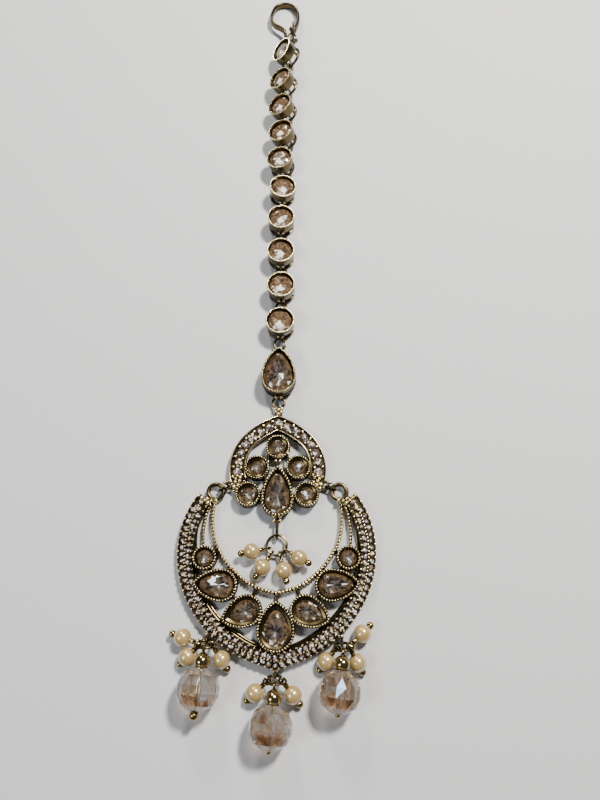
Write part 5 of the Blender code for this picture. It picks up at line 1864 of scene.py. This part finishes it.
class TIKKA_OT_links(bpy.types.Operator):
    """Makes the links of the chain and the rings that the drops hang from"""

    bl_idname = "tikka.links"
    bl_label = "Links and rings"

    def execute(self, context):
        shape = bmesh.new()
        nodes = []
        frames = cup_frames()
        drop_low = shift(0, DROP_LOW_EYELET_Y, EYELET_HEIGHT)
        drop_high = shift(0, DROP_HIGH_EYELET_Y, EYELET_HEIGHT)
        self.link(shape, drop_high, 0, frames[0], CUP_EYELET)
        nodes.append("chain_link_01")
        for index in range(CUP_COUNT - 1):
            self.link(shape, frames[index], CUP_EYELET, frames[index + 1], CUP_EYELET)
            nodes.append(f"chain_link_{index + 2:02d}")
        self.link(shape, shift(0, PLATE_EYELET_Y, EYELET_HEIGHT), 0, drop_low, 0)
        nodes.append("plate_link")
        for side, name in ((-1, "side_link_left"), (1, "side_link_right")):
            self.side_link(shape, side)
            nodes.append(name)
        oval_into(
            shape,
            BAIL - Vector((0, MIDDLE_LINK_HALF_LENGTH, 0)),
            (0, 1, 0),
            (0, 0, 1),
            MIDDLE_LINK_HALF_LENGTH,
            MIDDLE_LINK_HALF_HEIGHT,
            LINK_WIRE,
        )
        ring = ring_form(MIDDLE_RING_RADIUS, DROP_RING_WIRE, steps=40)
        poured(ring, shape, Matrix.Translation(middle_ring_centre()))
        nodes += ["pearl_link_middle", "pearl_ring_middle"]
        for cluster in CLUSTERS:
            centre, far, left = drop_ring(cluster)
            oval_into(shape, centre, far, left, DROP_RING_RADIUS, DROP_RING_RADIUS, DROP_RING_WIRE)
            nodes.append(f"drop_ring_{cluster['name']}")
        self.hook_end(shape, frames[-1])
        nodes += ["chain_link_11", "hook_ring_1", "hook_ring_2"]
        finished("links_and_rings", shape, antique_gold(), nodes)
        return {"FINISHED"}

    def link(self, shape, low_frame, low_reach, high_frame, high_reach):
        """A link between the eyelets of two frames, each a reach from its frame's origin."""
        low = low_frame @ Vector((0, low_reach, 0))
        high = high_frame @ Vector((0, -high_reach, 0))
        self.oval(shape, low, high, (up_of(low_frame) + up_of(high_frame)).normalized())

    def oval(self, shape, low, high, up):
        along = (high - low).normalized()
        across = along.cross(up).normalized()
        half = (high - low).length / 2
        oval_into(shape, (low + high) / 2, along, across, half, LINK_HALF_WIDTH, LINK_WIRE)

    def side_link(self, shape, side):
        """The short link from the plate's corner into the ring on the crescent's tip."""
        corner, tip = side_places(side)
        towards = (tip - corner).normalized()
        far = (tip - corner).length - TIP_LINK_SEAT + LOOP_WIRE + WIRE_GAP
        half = (far - WIRE_GAP) / 2
        centre = corner + towards * (WIRE_GAP + half)
        oval_into(shape, centre, towards, (0, 0, 1), half, EYELET_RADIUS + 0.2 * MM, LOOP_WIRE)

    def hook_end(self, shape, last_cup):
        """The long link above the last cup, and the two rings that lead to the hook."""
        start, end, centre, near, far = hook_places(last_cup)
        self.oval(shape, start, end, up_of(last_cup))
        ring_cross = Matrix.Rotation(HOOK_RING_ROLL, 3, HOOK_RING_AXIS) @ Vector((1, 0, 0))
        oval_into(shape, centre, HOOK_RING_AXIS, ring_cross, HOOK_RING_RADIUS, HOOK_RING_RADIUS, LINK_WIRE)
        oval_axis = (far - near).normalized()
        oval_up = oval_axis.cross(Vector((1, 0, 0))) * -1
        half = (far - near).length / 2
        oval_into(shape, (near + far) / 2, oval_axis, oval_up, half, HOOK_RING_HALF_HEIGHT, LINK_WIRE)


def hook_places(last_cup):
    """The ends of the last link, the first ring's centre, and the ends of the second ring."""
    start = last_cup @ Vector((0, CUP_EYELET, 0))
    link_axis = Vector((HOOK_LEAN, math.sqrt(1 - HOOK_LEAN**2), 0))
    end = start + link_axis * HOOK_LINK_LENGTH
    ring_inside = HOOK_RING_RADIUS - 2 * LINK_WIRE - WIRE_GAP
    centre = end + HOOK_RING_AXIS * ring_inside
    near = centre + HOOK_RING_AXIS * (ring_inside - HOOK_RING_SLACK)
    far = Vector((near.x, near.y + 2 * HOOK_OVAL_HALF_LENGTH, HOOK_RING_HALF_HEIGHT + LINK_WIRE))
    return start, end, centre, near, far


class TIKKA_OT_hook(bpy.types.Operator):
    """Makes the flat hair hook"""

    bl_idname = "tikka.hook"
    bl_label = "Hair hook"

    def execute(self, context):
        far = hook_places(cup_frame(CUP_COUNT - 1))[-1]
        bend_across, bend_along = HOOK_PATH[-2]
        base_x = far.x - bend_across * HOOK_HALF_WIDTH
        base_y = far.y - HOOK_SEAT - HOOK_BAND_THICKNESS / 2 - bend_along * HOOK_LENGTH
        line = []
        for across, along in HOOK_PATH:
            fall = min(max(along, 0), 1)
            height = far.z + (HOOK_BAND_HEIGHT / 2 + HOOK_LIFT - far.z) * fall
            line.append(Vector((base_x + across * HOOK_HALF_WIDTH, base_y + along * HOOK_LENGTH, height)))
        shape = bmesh.new()
        half = HOOK_BAND_THICKNESS / 2
        poured(swept_form(line, half, tall=HOOK_BAND_HEIGHT / 2 - half, soft=True, corner=3), shape)
        for end in (line[0], line[-1]):
            poured(ball_form(1.15 * half), shape, Matrix.Translation(end))
        finished("hair_hook_metal", shape, dark_strip(), ["hair_hook"])
        return {"FINISHED"}


class TIKKA_OT_pearls(bpy.types.Operator):
    """Makes the pearls and the pins that carry them"""

    bl_idname = "tikka.pearls"
    bl_label = "Pearls"

    def execute(self, context):
        radius = sizes().pearl
        frames = pearl_frames()
        pearls = bmesh.new()
        pins = bmesh.new()
        repeated(ball_form(radius, 32, 20), pearls, list(frames.values()))
        for place in frames.values():
            poured(ball_form(PEARL_END, 20, 12), pins, place @ shift(0, -radius - PEARL_END_REACH, 0))
            poured(ball_form(PEARL_TOP), pins, place @ shift(0, radius + PEARL_TOP_REACH, 0))
            loop_with_wraps(pins, place, pearl_reach(), radius + 0.3 * MM)
        finished("pearls", pearls, [pearl_cream()], sorted(frames))
        finished("pearl_pins", pins, dark_gold(), [])
        return {"FINISHED"}


class TIKKA_OT_crystals(bpy.types.Operator):
    """Makes the cut crystal beads and the pins and balls that carry them"""

    bl_idname = "tikka.crystals"
    bl_label = "Crystal beads"

    def execute(self, context):
        radius = sizes().crystal
        frames = crystal_frames()
        beads = bmesh.new()
        pins = bmesh.new()
        half = CRYSTAL_LENGTH / 2
        repeated(self.bead(radius, half), beads, [place @ turn("X", -90) for place in frames.values()])
        for name, place in frames.items():
            top = half + 0.7 * CRYSTAL_BALL
            poured(ball_form(CRYSTAL_TOP_BALL, 28, 18), pins, place @ shift(0, top, 0))
            end = CRYSTAL_END if name == "crystal_left" else CRYSTAL_HEAD
            tuck = 0.7 if name == "crystal_left" else 0.25
            poured(ball_form(end, 20, 12), pins, place @ shift(0, -half - tuck * end, 0))
            poured(post_form((0, -half, 0), (0, half, 0), 0.2 * MM), pins, place)
            loop_with_wraps(pins, place, crystal_reach(), half + 1.6 * CRYSTAL_BALL)
        scattered(beads, **CRYSTAL_CHANCE)
        self.flash(beads, frames["crystal_right"])
        # The second finish is a painted reflection of the sky
        finishes = [clear_crystal(), sky_flash()]
        finished("crystal_beads", beads, finishes, sorted(frames), cut=True)
        finished("crystal_pins", pins, dark_gold(), [])
        return {"FINISHED"}

    def flash(self, beads, place):
        """Marks the facets of one bead that get a painted reflection of the sky."""
        middle = place.translation + PAINTED_SKY_PLACE
        for face in beads.faces:
            centre = face.calc_center_median()
            near = math.hypot(centre.x - middle.x, centre.y - middle.y) < PAINTED_SKY_REACH
            if near and centre.z > middle.z:
                face.material_index = 1

    def bead(self, radius, half):
        """A round bead cut in long facets, with rows at its ends turned half a step."""
        steps = 14
        levels = (
            (0.0, 0.98, 0),
            (0.34, 0.97, 0),
            (0.80, 0.68, 1),
            (0.98, 0.24, 0),
            (0.98, -0.24, 0),
            (0.80, -0.68, 1),
            (0.34, -0.97, 0),
            (0.0, -0.98, 0),
        )
        form = turned([(share * radius, height * half) for share, height, _ in levels], steps)
        half_step = Matrix.Rotation(math.pi / steps, 3, "Z")
        turned_heights = [height * half for _, height, moved in levels if moved]
        for vertex in form.verts:
            if any(abs(vertex.co.z - height) < WELD * 10 for height in turned_heights):
                vertex.co = half_step @ vertex.co
        bmesh.ops.triangulate(form, faces=[face for face in form.faces if len(face.verts) > 3])
        light, edge = facet_layers(form)
        for face in form.faces:
            low = face.calc_center_median().z < -0.3 * half
            face.smooth = False
            # Painted shade: the facets of the lower end get less painted light, and the browner edge tone
            face[light] = CRYSTAL_LIGHTS[0] if low else CRYSTAL_LIGHTS[1]
            face[edge] = 1.0 if low else 0.0
        bmesh.ops.recalc_face_normals(form, faces=form.faces)
        return form


class TIKKA_OT_stage(bpy.types.Operator):
    """Makes the pale floor, the soft lights and the camera"""

    bl_idname = "tikka.stage"
    bl_label = "Stage"

    def execute(self, context):
        shape = bmesh.new()
        bmesh.ops.create_grid(shape, x_segments=4, y_segments=4, size=FLOOR_HALF)
        mesh = bpy.data.meshes.new("floor")
        shape.to_mesh(mesh)
        shape.free()
        mesh.transform(shift(0, 0, min(CAD_BOX[0][2], 0)))
        mesh.materials.append(floor_finish())
        floor = bpy.data.objects.new("floor", mesh)
        context.scene.collection.objects.link(floor)
        self.lights(context)
        self.camera(context)
        return {"FINISHED"}

    def lights(self, context):
        world = bpy.data.worlds.new("studio")
        world.use_nodes = True
        background = world.node_tree.nodes["Background"]
        with_inputs(background, {"Color": SKY_COLOUR, "Strength": SKY_STRENGTH})
        context.scene.world = world
        for row in STUDIO_LIGHTS:
            light = bpy.data.lights.new(row["name"], "AREA")
            light.size = row["size"]
            light.energy = row["power"]
            light.color = row["tint"]
            lamp = bpy.data.objects.new(row["name"], light)
            lamp.location = row["place"]
            lamp.rotation_euler = (LIGHT_AIM - lamp.location).to_track_quat("-Z", "Y").to_euler()
            context.scene.collection.objects.link(lamp)

    def camera(self, context):
        data = bpy.data.cameras.new("camera")
        data.lens = CAMERA_LENS
        data.sensor_width = SENSOR_LENGTH
        data.sensor_fit = "AUTO"
        data.clip_start = 0.002
        data.clip_end = 20
        camera = bpy.data.objects.new("camera", data)
        back = Vector((0, -math.cos(CAMERA_ELEVATION), math.sin(CAMERA_ELEVATION)))
        camera.location = CAMERA_TARGET + back * CAMERA_DISTANCE
        camera.rotation_euler = (math.pi / 2 - CAMERA_ELEVATION, 0, 0)
        context.scene.collection.objects.link(camera)
        context.scene.camera = camera


class TIKKA_PT_panel(bpy.types.Panel):
    """Lists the jewel's pieces"""

    bl_label = "Maang tikka"
    bl_idname = "TIKKA_PT_panel"
    bl_space_type = "VIEW_3D"
    bl_region_type = "UI"
    bl_category = "Tikka"

    def draw(self, context):
        layout = self.layout
        for group in (context.scene.tikka_sizes, context.scene.tikka_colours):
            for name in group.__annotations__:
                layout.prop(group, name)
        for step in STEPS:
            layout.operator(step.bl_idname)


STEPS = (
    TIKKA_OT_crescent,
    TIKKA_OT_rim_stones,
    TIKKA_OT_plate,
    TIKKA_OT_large_stones,
    TIKKA_OT_pear_drop,
    TIKKA_OT_cups,
    TIKKA_OT_links,
    TIKKA_OT_hook,
    TIKKA_OT_pearls,
    TIKKA_OT_crystals,
    TIKKA_OT_stage,
)


def register():
    for item in (TikkaSizes, TikkaColours, *STEPS, TIKKA_PT_panel):
        bpy.utils.register_class(item)
    bpy.types.Scene.tikka_sizes = PointerProperty(type=TikkaSizes)
    bpy.types.Scene.tikka_colours = PointerProperty(type=TikkaColours)


def unregister():
    del bpy.types.Scene.tikka_colours
    del bpy.types.Scene.tikka_sizes
    for item in reversed((TikkaSizes, TikkaColours, *STEPS, TIKKA_PT_panel)):
        bpy.utils.unregister_class(item)


def main():
    register()
    bpy.ops.tikka.crescent()
    bpy.ops.tikka.rim_stones()
    bpy.ops.tikka.plate()
    bpy.ops.tikka.large_stones()
    bpy.ops.tikka.pear_drop()
    bpy.ops.tikka.cups()
    bpy.ops.tikka.links()
    bpy.ops.tikka.hook()
    bpy.ops.tikka.pearls()
    bpy.ops.tikka.crystals()
    bpy.ops.tikka.stage()


if __name__ == "__main__":
    main()
